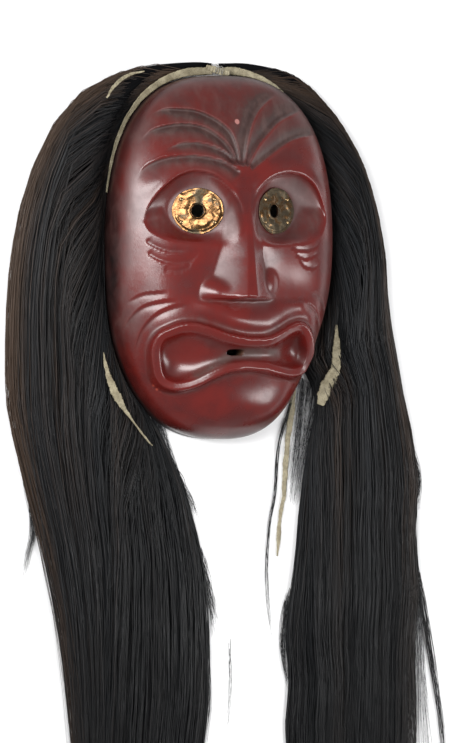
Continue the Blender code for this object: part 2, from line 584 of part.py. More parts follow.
def make_tack(side, number, degrees):
    """A round tack head that sits on the disc."""
    a = math.radians(degrees)
    spot = (EYE_DISC_HALF[0] * TACK_RING * math.cos(a) * side, EYE_DISC_HALF[1] * TACK_RING * math.sin(a))
    at = Matrix.Translation((*spot, EYE_SEAT_GAP + EYE_DISC_THICKNESS + TACK_GAP))
    mesh = bmesh.new()
    low, mid = [], []
    for k in range(TACK_SIDES):
        b = 2 * math.pi * k / TACK_SIDES
        x, y = TACK_HEAD_RADIUS * math.cos(b), TACK_HEAD_RADIUS * math.sin(b)
        low.append(mesh.verts.new((x, y, 0.0)))
        mid.append(mesh.verts.new((x * 0.7, y * 0.7, TACK_HEAD_HEIGHT * 0.7)))
    top = mesh.verts.new((0.0, 0.0, TACK_HEAD_HEIGHT))
    for k in range(TACK_SIDES):
        m = (k + 1) % TACK_SIDES
        mesh.faces.new((low[k], low[m], mid[m], mid[k]))
        mesh.faces.new((mid[k], mid[m], top))
    mesh.faces.new(list(reversed(low)))
    bmesh.ops.transform(mesh, matrix=disc_frame(side) @ at, verts=mesh.verts)
    bmesh.ops.recalc_face_normals(mesh, faces=mesh.faces)
    return finished(f"tack_{SIDE_NAMES[side]}_{number}", mesh)


def banded(name, sections):
    """A closed solid from a row of cross-sections with the same number of corners."""
    mesh = bmesh.new()
    rows = [[mesh.verts.new(p) for p in section] for section in sections]
    size = len(rows[0])
    for near, far in zip(rows[:-1], rows[1:]):
        for k in range(size):
            m = (k + 1) % size
            mesh.faces.new((near[k], near[m], far[m], far[k]))
    mesh.faces.new(rows[0])
    mesh.faces.new(list(reversed(rows[-1])))
    bmesh.ops.recalc_face_normals(mesh, faces=mesh.faces)
    return finished(name, mesh)


def make_rim_strip(side, angles):
    """A flat strip of hide that follows the rim from the crossing at the brow down one side."""
    sections = []
    for share in np.linspace(0.0, 1.0, STRIP_STATIONS):
        degrees = angles[0] + (angles[1] - angles[0]) * share
        width = np.interp(share, STRIP_WIDTH_STOPS, STRIP_WIDTHS)
        inner = rim_offset(degrees, side, STRIP_GAP)
        outer = rim_offset(degrees, side, STRIP_GAP + width)
        middle = (inner + outer) / 2
        low, high = STRIP_LEVEL, STRIP_LEVEL + STRIP_THICKNESS
        outer_top, inner_top = low + STRIP_THICKNESS * 0.55, low + STRIP_THICKNESS * 0.8
        section = [(*inner, low), (*outer, low), (*outer, outer_top), (*middle, high), (*inner, inner_top)]
        sections.append(section)
    return banded(f"hide_strip_{SIDE_NAMES[side]}", sections)


def flat_ribbon(name, points_mm, half_widths, thickness, under=None, stations=None):
    """A narrow strip laid on the floor, or draped over the solids under it."""
    path = flowing(placed(points_mm), 4)
    stations = stations or len(path)
    shares = np.linspace(0.0, 1.0, stations)
    centre = at_fraction(path, shares)
    tangent = np.gradient(centre, axis=0)
    tangent /= np.hypot(*tangent.T)[:, None]
    normal = np.stack([-tangent[:, 1], tangent[:, 0]], axis=1)
    half = np.interp(shares, np.linspace(0.0, 1.0, len(half_widths)), half_widths)
    base = np.full(stations, ORIGIN_HEIGHT)
    if under:
        for k in range(stations):
            for along in (-1.0, -0.5, 0.0, 0.5, 1.0):
                for across in np.linspace(-1.15, 1.15, 7):
                    p = centre[k] + normal[k] * half[k] * across + tangent[k] * along * 0.004
                    for tree in under:
                        hit = tree.ray_cast(Vector((p[0], p[1], 0.2)), Vector((0.0, 0.0, -1.0)))
                        if hit[0] is not None:
                            base[k] = max(base[k], hit[0].z + EYE_SEAT_GAP)
        base = np.maximum(base, (np.roll(base, 1) + np.roll(base, -1)) / 2 * 0.9)
    sections = []
    for k in range(stations):
        left, right = centre[k] + normal[k] * half[k], centre[k] - normal[k] * half[k]
        low, high = base[k], base[k] + thickness
        edge = low + thickness * 0.5
        sections.append([(*left, low), (*right, low), (*right, edge), (*centre[k], high), (*left, edge)])
    return banded(name, sections)


def hair_paths(side):
    """The inner path of a mass, which starts along the rim, and its outer path."""
    inner_far = HAIR_INNER_LEFT if side < 0 else HAIR_INNER_RIGHT
    outer = HAIR_OUTER_LEFT if side < 0 else HAIR_OUTER_RIGHT
    roots = [rim_offset(degrees, side, HAIR_GAP) for degrees in HAIR_RIM_ANGLES]
    return flowing(np.vstack([roots, placed(inner_far)]), 6), flowing(placed(outer), 6)


def hair_height(share, across, width, in_groove):
    """Height of a mass over the floor, by its share from root to tip and from inner to outer side."""
    arch = math.sin(math.pi * across) ** 0.6 * min(width / HAIR_FULL_WIDTH, 1.0)
    body = HAIR_EDGE_HEIGHT + (HAIR_MIDDLE_HEIGHT - HAIR_EDGE_HEIGHT) * arch
    body *= 1.0 - HAIR_LOCK_DEPTH * in_groove * smooth(share / 0.25)
    body = HAIR_TIP_HEIGHT + (body - HAIR_TIP_HEIGHT) * smooth((1.0 - share) / 0.35)
    off_strip = smooth((across * width - STRIP_WIDTHS[1] - HAIR_STRIP_MARGIN) / HAIR_STRIP_RISE)
    beside_rim = 1.0 - smooth((share - HAIR_RIM_SHARE + 0.04) / 0.10)
    return body + (min(body, HAIR_ROOT_SHELF) - body) * (1.0 - off_strip) * beside_rim


def make_hair(side):
    """One mass of horsehair: rows run from root to tip and columns cross the locks."""
    inner_path, outer_path = hair_paths(side)
    columns = 3 * HAIR_LOCKS + 1
    across = np.linspace(0.0, 1.0, columns)
    lock = np.minimum((across * HAIR_LOCKS).astype(int), HAIR_LOCKS - 1)
    phase = across * HAIR_LOCKS - lock
    on_groove = np.isclose(phase, 0.0) | np.isclose(phase, 1.0)
    shorter = HAIR_TIP_NOTCH * (1.0 - np.array(HAIR_LOCK_LENGTHS)[lock]) * 0.9
    reach = 1.0 - np.where(on_groove, HAIR_TIP_NOTCH, shorter)
    beside_rim = np.linspace(0.0, HAIR_RIM_SHARE, HAIR_RIM_ROWS)[:-1]
    shares = np.concatenate([beside_rim, np.linspace(HAIR_RIM_SHARE, 1.0, HAIR_FREE_ROWS)])
    mesh = bmesh.new()
    verts = []
    for share in shares:
        inner, outer = at_fraction(inner_path, share * reach), at_fraction(outer_path, share * reach)
        row = []
        for c in range(columns):
            a, b = inner[c], outer[c]
            x, y = a + (b - a) * across[c]
            z = hair_height(share * reach[c], across[c], np.hypot(*(b - a)), on_groove[c])
            row.append(mesh.verts.new((x, y, z)))
        verts.append(row)
    last = len(shares) - 1
    for r in range(last):
        for c in range(columns - 1):
            mesh.faces.new((verts[r][c], verts[r + 1][c], verts[r + 1][c + 1], verts[r][c + 1]))
    border = [verts[r][0] for r in range(last)] + [verts[last][c] for c in range(columns - 1)]
    border += [verts[r][columns - 1] for r in range(last, 0, -1)]
    border += [verts[0][c] for c in range(columns - 1, 0, -1)]
    low = [mesh.verts.new((v.co.x, v.co.y, ORIGIN_HEIGHT)) for v in border]
    for k in range(len(border)):
        n = (k + 1) % len(border)
        mesh.faces.new((border[n], border[k], low[k], low[n]))
    mesh.faces.new(list(reversed(low)))
    bmesh.ops.recalc_face_normals(mesh, faces=mesh.faces)
    return finished(f"hair_{SIDE_NAMES[side]}", mesh)


def tree_of(obj):
    data = obj.data
    return BVHTree.FromPolygons([v.co for v in data.vertices], [p.vertices for p in data.polygons])


for old in list(bpy.data.objects):
    bpy.data.objects.remove(old, do_unlink=True)

wood = material("wood", (0.16, 0.012, 0.010), 0.35)
brass = material("brass", (0.55, 0.30, 0.09), 0.38, 1.0)
hide = material("hide", (0.50, 0.50, 0.36), 0.6)
horsehair = material("horsehair", (0.012, 0.010, 0.010), 0.55)

def painted(piece, finish):
    """Give a piece its material."""
    piece.data.materials.append(finish)
    return piece


painted(make_face(), wood)
for side in (-1, 1):
    painted(make_eye_disc(side), brass)
    for number, degrees in enumerate(TACK_ANGLES_DEG, 1):
        painted(make_tack(side, number, degrees), brass)

hair = [painted(make_hair(side), horsehair) for side in (-1, 1)]
strips = [
    painted(make_rim_strip(-1, STRIP_ANGLES_LEFT), hide),
    painted(make_rim_strip(1, STRIP_ANGLES_RIGHT), hide),
]
trees = [tree_of(obj) for obj in hair + strips]
for name, ribbon, under, stations in (
    ("hide_crossing", CROSSING, trees, 12),
    ("hide_thong", THONG, trees, 12),
    ("hide_end_left", LOOSE_END_LEFT, trees, 14),
    ("hide_end_right", LOOSE_END_RIGHT, trees, 14),
    ("hide_strip_long", LONG_STRIP, None, 18),
):
    strip = flat_ribbon(name, ribbon["points"], ribbon["half_widths"], ribbon["thickness"], under, stations)
    painted(strip, hide)
for wisp in WISPS:
    strand = flat_ribbon(wisp["name"], wisp["points"], wisp["half_widths"], wisp["thickness"], None, 14)
    hair.append(painted(strand, horsehair))

corners = np.array([v.co for obj in hair for v in obj.data.vertices])
centre = (corners.min(axis=0) + corners.max(axis=0)) / 2
for obj in bpy.data.objects:
    obj.data.transform(Matrix.Translation((-centre[0], -centre[1], 0.0)))
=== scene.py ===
# %% [markdown]
# # A carved mask with hammered eye discs and horsehair
#
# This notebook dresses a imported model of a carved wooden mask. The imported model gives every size
# and place; the cells below give each piece the form and finish that shows from a step away.
# The mask lies face up: +Z points out of the face, +Y to the brow, +X to the viewer's right.

# %% Load the frame
import math

import bmesh
import bpy
import numpy as np
from mathutils import Matrix, Vector
from mathutils.bvhtree import BVHTree
from mathutils.kdtree import KDTree


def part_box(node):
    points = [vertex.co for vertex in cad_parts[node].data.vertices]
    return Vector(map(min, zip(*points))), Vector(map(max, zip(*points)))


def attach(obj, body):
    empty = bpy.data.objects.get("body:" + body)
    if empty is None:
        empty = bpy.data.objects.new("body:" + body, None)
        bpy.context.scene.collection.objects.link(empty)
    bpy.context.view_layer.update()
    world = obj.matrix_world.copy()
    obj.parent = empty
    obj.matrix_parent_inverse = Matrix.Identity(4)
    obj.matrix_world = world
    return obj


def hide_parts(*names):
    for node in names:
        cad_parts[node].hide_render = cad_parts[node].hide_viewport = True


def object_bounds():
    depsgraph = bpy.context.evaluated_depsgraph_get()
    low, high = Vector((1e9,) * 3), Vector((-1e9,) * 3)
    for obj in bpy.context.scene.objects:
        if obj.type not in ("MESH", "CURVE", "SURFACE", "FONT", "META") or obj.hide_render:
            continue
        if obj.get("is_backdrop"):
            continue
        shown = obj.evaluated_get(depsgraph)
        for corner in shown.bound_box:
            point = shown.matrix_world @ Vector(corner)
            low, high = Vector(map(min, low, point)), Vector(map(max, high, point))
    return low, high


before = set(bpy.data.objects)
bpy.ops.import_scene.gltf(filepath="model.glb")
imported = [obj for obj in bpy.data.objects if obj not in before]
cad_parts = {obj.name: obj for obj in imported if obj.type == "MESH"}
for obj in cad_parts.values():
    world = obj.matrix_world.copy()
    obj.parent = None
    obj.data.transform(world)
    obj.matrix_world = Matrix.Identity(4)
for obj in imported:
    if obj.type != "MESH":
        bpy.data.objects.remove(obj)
cad_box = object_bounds()
print("CAD box in mm:", [[round(v * 1000, 1) for v in corner] for corner in cad_box])

# %% [markdown]
# ## Where the face sits
#
# The carver's drawing of the face has its origin in the middle of the back plane. The row frame
# has its origin under the middle of the whole part, hair included. One offset links the two.

# %% Place of the face
FACE_WIDTH, FACE_HEIGHT = 0.171, 0.260
face_low, face_high = (np.array(corner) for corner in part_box("face"))
FACE_PLACE = np.array([(face_low[0] + face_high[0]) / 2, (face_low[1] + face_high[1]) / 2, 0.0])
print("face centre in mm:", np.round(FACE_PLACE * 1000, 2))

# %% [markdown]
# ## Camera, floor and light
#
# A long lens from far off, to the left of the face and a quarter of a right angle off its axis,
# gives the flat drawing of a museum photograph. The middle of the view lies below the middle of
# the face, because the hair hangs low. The floor is plain and pale. One broad soft light from the
# left rakes over the carving, a second one fills in from the right, and the sky does the rest.

# %% Camera
VIEW_YAW = math.radians(22.0)
VIEW_DISTANCE = 12.0
MM_PER_PIXEL = 0.716
PHOTO_HEIGHT_PX = 743
VIEW_U, VIEW_V = 0.00766, -0.0816
SENSOR_WIDTH, CLIP_END = 36.0, 100.0


def add_object(name, data):
    """A new object in the scene."""
    obj = bpy.data.objects.new(name, data)
    bpy.context.scene.collection.objects.link(obj)
    return obj


camera_data = bpy.data.cameras.new("camera")
camera = add_object("camera", camera_data)
right = Vector((math.cos(VIEW_YAW), 0.0, math.sin(VIEW_YAW)))
up = Vector((0.0, 1.0, 0.0))
toward_camera = Vector((-math.sin(VIEW_YAW), 0.0, math.cos(VIEW_YAW)))
target = Vector(FACE_PLACE) + right * VIEW_U + up * VIEW_V
axes = Matrix((right, up, toward_camera)).transposed().to_4x4()
camera.matrix_world = Matrix.Translation(target + toward_camera * VIEW_DISTANCE) @ axes
camera_data.sensor_width = SENSOR_WIDTH
camera_data.lens = SENSOR_WIDTH * VIEW_DISTANCE / (PHOTO_HEIGHT_PX * MM_PER_PIXEL / 1000.0)
camera_data.clip_end = CLIP_END
bpy.context.scene.camera = camera
print("lens in mm:", round(camera_data.lens, 1))

# %% Floor and lights
FLOOR_HALF, FLOOR_LEVEL = 6.0, -0.0005
FLOOR_COLOUR, FLOOR_ROUGHNESS = (0.90, 0.90, 0.905), 0.9
SKY_STRENGTH = 0.40
# Each light: name, place and aim from the middle of the face, size across and along, power.
LIGHTS = (
    ("key from the left", (-1.22, 0.28, 1.00), (0.0, 0.0, 0.03), (0.48, 1.30), 35.0),
    ("fill from the right", (0.94, -0.34, 1.04), (0.0, -0.03, 0.03), (0.34, 1.35), 17.0),
)


def floor_paint():
    """A rough, pale, even paint."""
    mat = bpy.data.materials.new("pale floor")
    mat.use_nodes = True
    shader = mat.node_tree.nodes["Principled BSDF"]
    shader.inputs["Base Color"].default_value = (*FLOOR_COLOUR, 1.0)
    shader.inputs["Roughness"].default_value = FLOOR_ROUGHNESS
    return mat


def soft_light(name, place, aim, size, power):
    """A rectangular studio light that points at a spot on the face."""
    data = bpy.data.lights.new(name, "AREA")
    data.shape = "RECTANGLE"
    data.size, data.size_y = size
    data.energy = power
    place, aim = Vector(FACE_PLACE) + Vector(place), Vector(FACE_PLACE) + Vector(aim)
    turned = (aim - place).to_track_quat("-Z", "Y").to_matrix().to_4x4()
    add_object(name, data).matrix_world = Matrix.Translation(place) @ turned


corners = [(x * FLOOR_HALF, y * FLOOR_HALF, FLOOR_LEVEL) for x, y in ((-1, -1), (1, -1), (1, 1), (-1, 1))]
floor_mesh = bpy.data.meshes.new("floor")
floor_mesh.from_pydata(corners, [], [(0, 1, 2, 3)])
floor_mesh.materials.append(floor_paint())
floor = add_object("floor", floor_mesh)
floor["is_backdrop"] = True
for light in LIGHTS:
    soft_light(*light)
world = bpy.data.worlds.new("pale room")
world.use_nodes = True
sky = world.node_tree.nodes["Background"]
sky.inputs["Color"].default_value = (1.0, 1.0, 1.0, 1.0)
sky.inputs["Strength"].default_value = SKY_STRENGTH
bpy.context.scene.world = world
bpy.context.scene.view_settings.view_transform = "Standard"

# %% [markdown]
# ## Drawing tools
#
# A few helpers carry the whole carving: a smooth step, a curve through drawn points, and the
# distance from any spot to such a curve. Points are drawn in millimetres on the face's back plane.

# %% Curves and distances
CARVED_STEPS, PATH_STEPS = 6, 8


def smooth(value):
    """Smoothstep, clamped to the range from 0 to 1."""
    t = np.clip(value, 0.0, 1.0)
    return t * t * (3.0 - 2.0 * t)


def placed(points_mm):
    """Drawn points in metres."""
    return np.array(points_mm, dtype=float) * 0.001


def flowing(points, per_span=PATH_STEPS, closed=False):
    """A Catmull-Rom curve through 2-D points."""
    points = np.asarray(points, dtype=float)
    spans = len(points) if closed else len(points) - 1
    before = points[-1] if closed else 2 * points[0] - points[1]
    after = points[:2] if closed else [2 * points[-1] - points[-2]]
    padded = np.vstack([before, points, *after])
    out = []
    for i in range(spans):
        p0, p1, p2, p3 = padded[i:i + 4]
        square, cube = 2 * p0 - 5 * p1 + 4 * p2 - p3, 3 * p1 - p0 - 3 * p2 + p3
        for t in np.arange(per_span) / per_span:
            out.append(0.5 * ((2 * p1) + (p2 - p0) * t + square * t ** 2 + cube * t ** 3))
    if not closed:
        out.append(points[-1])
    return np.array(out)


def drawn(points_mm, closed=False):
    """A knife line or an outline as a curve through its drawn points."""
    return flowing(placed(points_mm), CARVED_STEPS, closed)


def at_fraction(path, fractions):
    """Points at given fractions of a path's length."""
    steps = np.hypot(*np.diff(path, axis=0).T)
    length = np.concatenate([[0.0], np.cumsum(steps)])
    length /= length[-1]
    return np.stack([np.interp(fractions, length, path[:, k]) for k in (0, 1)], axis=-1)


def line_measures(x, y, path, closed=False):
    """Distance to a path, the side it lies on, and the share of the way along."""
    best, side, along = np.full(x.shape, np.inf), np.zeros(x.shape), np.zeros(x.shape)
    starts, ends = (path, np.roll(path, -1, axis=0)) if closed else (path[:-1], path[1:])
    total, done = np.hypot(*(ends - starts).T).sum(), 0.0
    for a, b in zip(starts, ends):
        d = b - a
        size = math.hypot(*d)
        t = np.clip(((x - a[0]) * d[0] + (y - a[1]) * d[1]) / (size * size), 0.0, 1.0)
        gap = np.hypot(x - a[0] - t * d[0], y - a[1] - t * d[1])
        near = gap < best
        best = np.where(near, gap, best)
        side = np.where(near, np.sign(d[0] * (y - a[1]) - d[1] * (x - a[0])), side)
        along = np.where(near, (done + t * size) / total, along)
        done += size
    return best, side, along


def inside_distance(x, y, outline):
    """Signed distance to a closed outline, positive inside."""
    gap, _, _ = line_measures(x, y, outline, closed=True)
    inside = np.zeros(x.shape, dtype=bool)
    previous = outline[-1]
    for point in outline:
        rise = previous[1] - point[1]
        rise = rise if abs(rise) > 1e-12 else 1e-12
        crosses = (point[1] > y) != (previous[1] > y)
        inside ^= crosses & (x < (previous[0] - point[0]) * (y - point[1]) / rise + point[0])
        previous = point
    return np.where(inside, gap, -gap)


# %% [markdown]
# Sculpted pieces are arrays of points and faces. These helpers turn them into mesh objects at the
# origin, with smooth shading and a material, and keep the numbers that a finish reads.


# %% Mesh helpers
def mesh_piece(name, points, faces, finish):
    """A mesh object at the origin from arrays of points and faces."""
    data = bpy.data.meshes.new(name)
    data.from_pydata([tuple(p) for p in np.asarray(points).tolist()], [], [tuple(f) for f in faces])
    data.update()
    data.polygons.foreach_set("use_smooth", [True] * len(data.polygons))
    data.materials.append(finish)
    return add_object(name, data)


def turn_outward(obj, matrix=None):
    """Move a closed mesh by a matrix, if one is given, and point all its faces outward."""
    mesh = bmesh.new()
    mesh.from_mesh(obj.data)
    if matrix is not None:
        bmesh.ops.transform(mesh, matrix=matrix, verts=mesh.verts)
    bmesh.ops.recalc_face_normals(mesh, faces=mesh.faces)
    mesh.to_mesh(obj.data)
    mesh.free()


def store(data, name, values):
    """Keep one number for each point of a mesh."""
    layer = data.attributes.new(name, "FLOAT", "POINT")
    layer.data.foreach_set("value", np.asarray(values).reshape(-1).astype(np.float32))


def triangle_count(obj):
    """Triangles in a finished mesh."""
    return sum(len(p.vertices) - 2 for p in obj.data.polygons)


def applied(obj):
    """Replace an object's mesh by its evaluated one and drop its modifiers."""
    evaluated = obj.evaluated_get(bpy.context.evaluated_depsgraph_get())
    data = bpy.data.meshes.new_from_object(evaluated)
    obj.modifiers.clear()
    obj.data = data
    return obj


# %% [markdown]
# ## Finishes
#
# Every finish is built from noise on Object coordinates, which are metres here, so a scale of 1000
# is a grain of a millimetre. A small builder keeps each material to a few readable lines.


# %% Material builder
class Finish:
    """A node material with short helpers for noise, ramps, mixes and bump."""

    def __init__(self, name):
        self.material = bpy.data.materials.new(name)
        self.material.use_nodes = True
        self.nodes = self.material.node_tree.nodes
        self.links = self.material.node_tree.links
        self.shader = self.nodes["Principled BSDF"]
        self.place = self.nodes.new("ShaderNodeTexCoord").outputs["Object"]

    def feed(self, socket, value):
        """Set a socket from a plain value or link it from another socket."""
        if isinstance(value, bpy.types.NodeSocket):
            self.links.new(value, socket)
        else:
            socket.default_value = value

    def stretched(self, scale, turn=(0.0, 0.0, 0.0)):
        """Object coordinates, stretched and turned."""
        node = self.nodes.new("ShaderNodeMapping")
        node.inputs["Scale"].default_value = scale
        node.inputs["Rotation"].default_value = turn
        self.links.new(self.place, node.inputs["Vector"])
        return node.outputs["Vector"]

    def noise(self, scale, detail=4.0, rough=0.55, vector=None, distortion=0.0):
        """Fractal noise, about 0.2 to 0.8."""
        node = self.nodes.new("ShaderNodeTexNoise")
        node.inputs["Scale"].default_value = scale
        node.inputs["Detail"].default_value = detail
        node.inputs["Roughness"].default_value = rough
        node.inputs["Distortion"].default_value = distortion
        self.links.new(vector or self.place, node.inputs["Vector"])
        return node.outputs["Fac"]

    def cells(self, scale, vector=None, smoothness=0.6):
        """Distance to the nearest cell centre, as rounded dents."""
        node = self.nodes.new("ShaderNodeTexVoronoi")
        node.feature = "SMOOTH_F1"
        node.inputs["Scale"].default_value = scale
        node.inputs["Smoothness"].default_value = smoothness
        self.links.new(vector or self.place, node.inputs["Vector"])
        return node.outputs["Distance"]

    def spot(self, centre_mm, radius_mm, edge_mm, ragged):
        """A small mark at a place on the face, 1 inside and 0 outside, with a ragged edge."""
        node = self.nodes.new("ShaderNodeVectorMath")
        node.operation = "DISTANCE"
        self.links.new(self.place, node.inputs[0])
        node.inputs[1].default_value = tuple(FACE_PLACE + np.array(centre_mm) * 0.001)
        away = self.plus(self.times(node.outputs["Value"], 1000.0), self.times(ragged, edge_mm))
        return self.spread(away, radius_mm, radius_mm + edge_mm, 1.0, 0.0)

    def attribute(self, name):
        """A number stored on the mesh."""
        node = self.nodes.new("ShaderNodeAttribute")
        node.attribute_name = name
        return node.outputs["Fac"]

    def arithmetic(self, operation, a, b, clamp):
        """One arithmetic step."""
        node = self.nodes.new("ShaderNodeMath")
        node.operation = operation
        node.use_clamp = clamp
        self.feed(node.inputs[0], a)
        self.feed(node.inputs[1], b)
        return node.outputs[0]

    def plus(self, a, b):
        """The sum of two values."""
        return self.arithmetic("ADD", a, b, False)

    def times(self, a, b, clamp=False):
        """The product of two values."""
        return self.arithmetic("MULTIPLY", a, b, clamp)

    def spread(self, value, low, high, to_low=0.0, to_high=1.0):
        """Stretch a range of values to another, clamped."""
        node = self.nodes.new("ShaderNodeMapRange")
        node.interpolation_type = "SMOOTHSTEP"
        self.feed(node.inputs["Value"], value)
        node.inputs["From Min"].default_value = low
        node.inputs["From Max"].default_value = high
        node.inputs["To Min"].default_value = to_low
        node.inputs["To Max"].default_value = to_high
        return node.outputs["Result"]

    def mix(self, share, a, b):
        """Blend two colours."""
        node = self.nodes.new("ShaderNodeMix")
        node.data_type = "RGBA"
        self.feed(node.inputs["Factor"], share)
        for socket, colour in ((node.inputs[6], a), (node.inputs[7], b)):
            self.feed(socket, (*colour, 1.0) if isinstance(colour, tuple) else colour)
        return node.outputs[2]

    def bump(self, height, distance, strength=1.0, under=None):
        """Raise the surface by a height pattern, on top of an earlier bump."""
        node = self.nodes.new("ShaderNodeBump")
        node.inputs["Strength"].default_value = strength
        node.inputs["Distance"].default_value = distance
        self.links.new(height, node.inputs["Height"])
        if under is not None:
            self.links.new(under, node.inputs["Normal"])
        return node.outputs["Normal"]

    def finish(self, colour, rough, normal=None, **plain):
        """Connect the shader and return the material. Plain numbers go straight on its sockets."""
        self.feed(self.shader.inputs["Base Color"], colour)
        self.feed(self.shader.inputs["Roughness"], rough)
        if normal is not None:
            self.links.new(normal, self.shader.inputs["Normal"])
        for socket, value in plain.items():
            self.shader.inputs[socket.replace("_", " ")].default_value = value
        return self.material


# %% [markdown]
# The face wears an old oil paint: deep red, glossy where hands and cloth have rubbed it, browned
# by smoke in the furrows and on the upper brow, and thin on the crests. Toward the rim the paint
# is darkened as painted shade, most on the left rim, and the crests are lighter, partly from wear
# and partly as a painted highlight. The mesh carries a few numbers for that: how hollow, how
# proud, how smoked or rim-shaded, how sooty or shaded and how dusty each spot is. One more marks
# the bare wood of the hollow back. A handful of nicks and drips sit at fixed places.

# %% Smoked red paint
# The lighter red of proud spots is partly wear and partly a painted highlight.
BRIGHT_RED, DARK_RED, WORN_AND_LIT_RED = (0.110, 0.0074, 0.0056), (0.070, 0.0060, 0.0054), (0.190, 0.022, 0.016)
# The smoke colours serve the patina of the hollows and also the painted shade toward the rim.
SMOKE_AND_SHADE_DARK, SMOKE_AND_SHADE_PALE = (0.034, 0.0135, 0.0115), (0.066, 0.032, 0.028)
# The soot colour serves real soot by the slot and also the painted shade of the left rim and edge.
SOOT_AND_SHADE_COLOUR, DUST = (0.0085, 0.0042, 0.0040), (0.066, 0.036, 0.031)
WOOD_DARK, WOOD_PALE = (0.145, 0.075, 0.036), (0.255, 0.150, 0.080)
# Each mark: its place on the face, radius and ragged edge in millimetres, and its colour.
PAINT_MARKS = (
    ((2.2, 97.0, 39.0), 2.0, 0.8, (0.330, 0.140, 0.125)),
    ((-28.5, 121.0, 25.0), 0.6, 0.7, (0.360, 0.250, 0.220)),
    ((11.0, 115.0, 28.0), 0.5, 0.7, (0.300, 0.190, 0.170)),
    ((-58.5, -92.0, 28.0), 1.0, 1.0, (0.240, 0.040, 0.024)),
    ((-55.5, -94.5, 28.0), 1.0, 1.0, (0.260, 0.044, 0.026)),
    ((-52.5, -96.0, 28.0), 0.7, 0.8, (0.220, 0.036, 0.022)),
)


def smoked_red_paint():
    f = Finish("smoked red paint")
    clouds = f.noise(38.0, 5.0, 0.6)
    fine = f.noise(420.0, 5.0, 0.6)
    streaks = f.noise(1.0, 5.0, 0.62, f.stretched((120.0, 60.0, 90.0)), 0.3)
    red = f.mix(f.spread(clouds, 0.36, 0.66), BRIGHT_RED, DARK_RED)
    # Grime mixes the patina of the hollows with the smoke number, which toward the rim is painted shade.
    grime_and_rim_shade = f.plus(f.times(f.attribute("hollow"), 0.90), f.times(f.attribute("smoke_and_rim_shade"), 0.60))
    patchy = f.spread(f.plus(streaks, f.times(fine, 0.35)), 0.40, 0.90, 0.62, 1.12)
    grime_and_rim_shade = f.times(grime_and_rim_shade, patchy, clamp=True)
    paint = f.mix(grime_and_rim_shade, red, f.mix(f.spread(streaks, 0.4, 0.7), SMOKE_AND_SHADE_DARK, SMOKE_AND_SHADE_PALE))
    # The soot number is painted shade on the left rim and round the very edge, and real soot by the slot.
    sooty_and_shaded = f.times(f.attribute("soot_and_shade"), f.spread(streaks, 0.30, 0.75, 1.0, 0.62), clamp=True)
    dusty = f.times(f.attribute("dust"), f.spread(streaks, 0.30, 0.60, 0.45, 1.0), clamp=True)
    paint = f.mix(dusty, f.mix(sooty_and_shaded, paint, SOOT_AND_SHADE_COLOUR), DUST)
    for centre, radius, edge, shade in PAINT_MARKS:
        paint = f.mix(f.spot(centre, radius, edge, fine), paint, shade)
    # Proud spots turn to a lighter red: partly wear, partly a painted highlight on the crests.
    worn_and_lit = f.times(f.attribute("crest"), f.spread(clouds, 0.40, 0.65, 0.1, 0.5), clamp=True)
    paint = f.mix(f.times(worn_and_lit, 0.5), paint, WORN_AND_LIT_RED)
    grain = f.noise(1.0, 5.0, 0.65, f.stretched((420.0, 30.0, 420.0)), 0.4)
    wood = f.mix(f.spread(grain, 0.35, 0.7), WOOD_DARK, WOOD_PALE)
    colour = f.mix(f.attribute("bare"), paint, wood)
    rough = f.spread(f.plus(clouds, f.times(grime_and_rim_shade, 0.8)), 0.35, 1.15, 0.21, 0.52)
    rough = f.plus(rough, f.times(f.attribute("bare"), 0.35))
    facets = f.bump(f.cells(95.0, f.stretched((1.0, 0.55, 1.0)), 0.9), 0.00035, 0.30)
    brushed = f.bump(f.noise(1.0, 3.0, 0.6, f.stretched((700.0, 150.0, 500.0))), 0.00006, 0.6, facets)
    pits = f.bump(fine, 0.00005, 0.5, brushed)
    return f.finish(colour, rough, pits, Specular_IOR_Level=0.5)


PAINT = smoked_red_paint()

# %% [markdown]
# The discs are thin copper alloy. Where the hammer and the cloth have rubbed it, the sheet is
# bright gold; elsewhere it has tarnished to a dull olive brown. A number on the mesh says how
# tarnished each spot is, and noise breaks the border up. The tacks are darker and smoother.

# %% Beaten sheet and tacks
GOLD_BRIGHT, GOLD_WORN = (0.150, 0.080, 0.034), (0.112, 0.055, 0.022)
TARNISH_DARK, TARNISH_PALE = (0.050, 0.039, 0.026), (0.092, 0.071, 0.045)
TACK_BRIGHT, TACK_DARK = (0.50, 0.34, 0.17), (0.10, 0.070, 0.042)


def beaten_sheet():
    f = Finish("beaten sheet")
    clouds = f.noise(230.0, 4.0, 0.6)
    fine = f.noise(1300.0, 4.0, 0.65)
    dull = f.plus(f.attribute("tarnish"), f.spread(clouds, 0.30, 0.70, -0.38, 0.38))
    dull = f.plus(dull, f.spread(fine, 0.30, 0.70, -0.12, 0.12))
    gold = f.mix(f.spread(clouds, 0.40, 0.60), GOLD_BRIGHT, GOLD_WORN)
    brown = f.mix(f.spread(fine, 0.35, 0.65), TARNISH_DARK, TARNISH_PALE)
    metal = f.mix(f.spread(dull, 0.38, 0.74), gold, brown)
    rough = f.spread(dull, 0.25, 0.90, 0.20, 0.44)
    scratched = f.bump(fine, 0.00003, 0.6)
    small_dents = f.bump(f.cells(620.0, None, 0.5), 0.00007, 0.6, scratched)
    return f.finish(metal, rough, small_dents, Metallic=1.0)


def tack_metal():
    f = Finish("tack metal")
    clouds = f.noise(900.0, 3.0, 0.6)
    metal = f.mix(f.spread(clouds, 0.4, 0.65), TACK_BRIGHT, TACK_DARK)
    return f.finish(metal, f.spread(clouds, 0.3, 0.7, 0.22, 0.45), f.bump(clouds, 0.00005, 0.6), Metallic=1.0)


SHEET_METAL, TACK_METAL = beaten_sheet(), tack_metal()

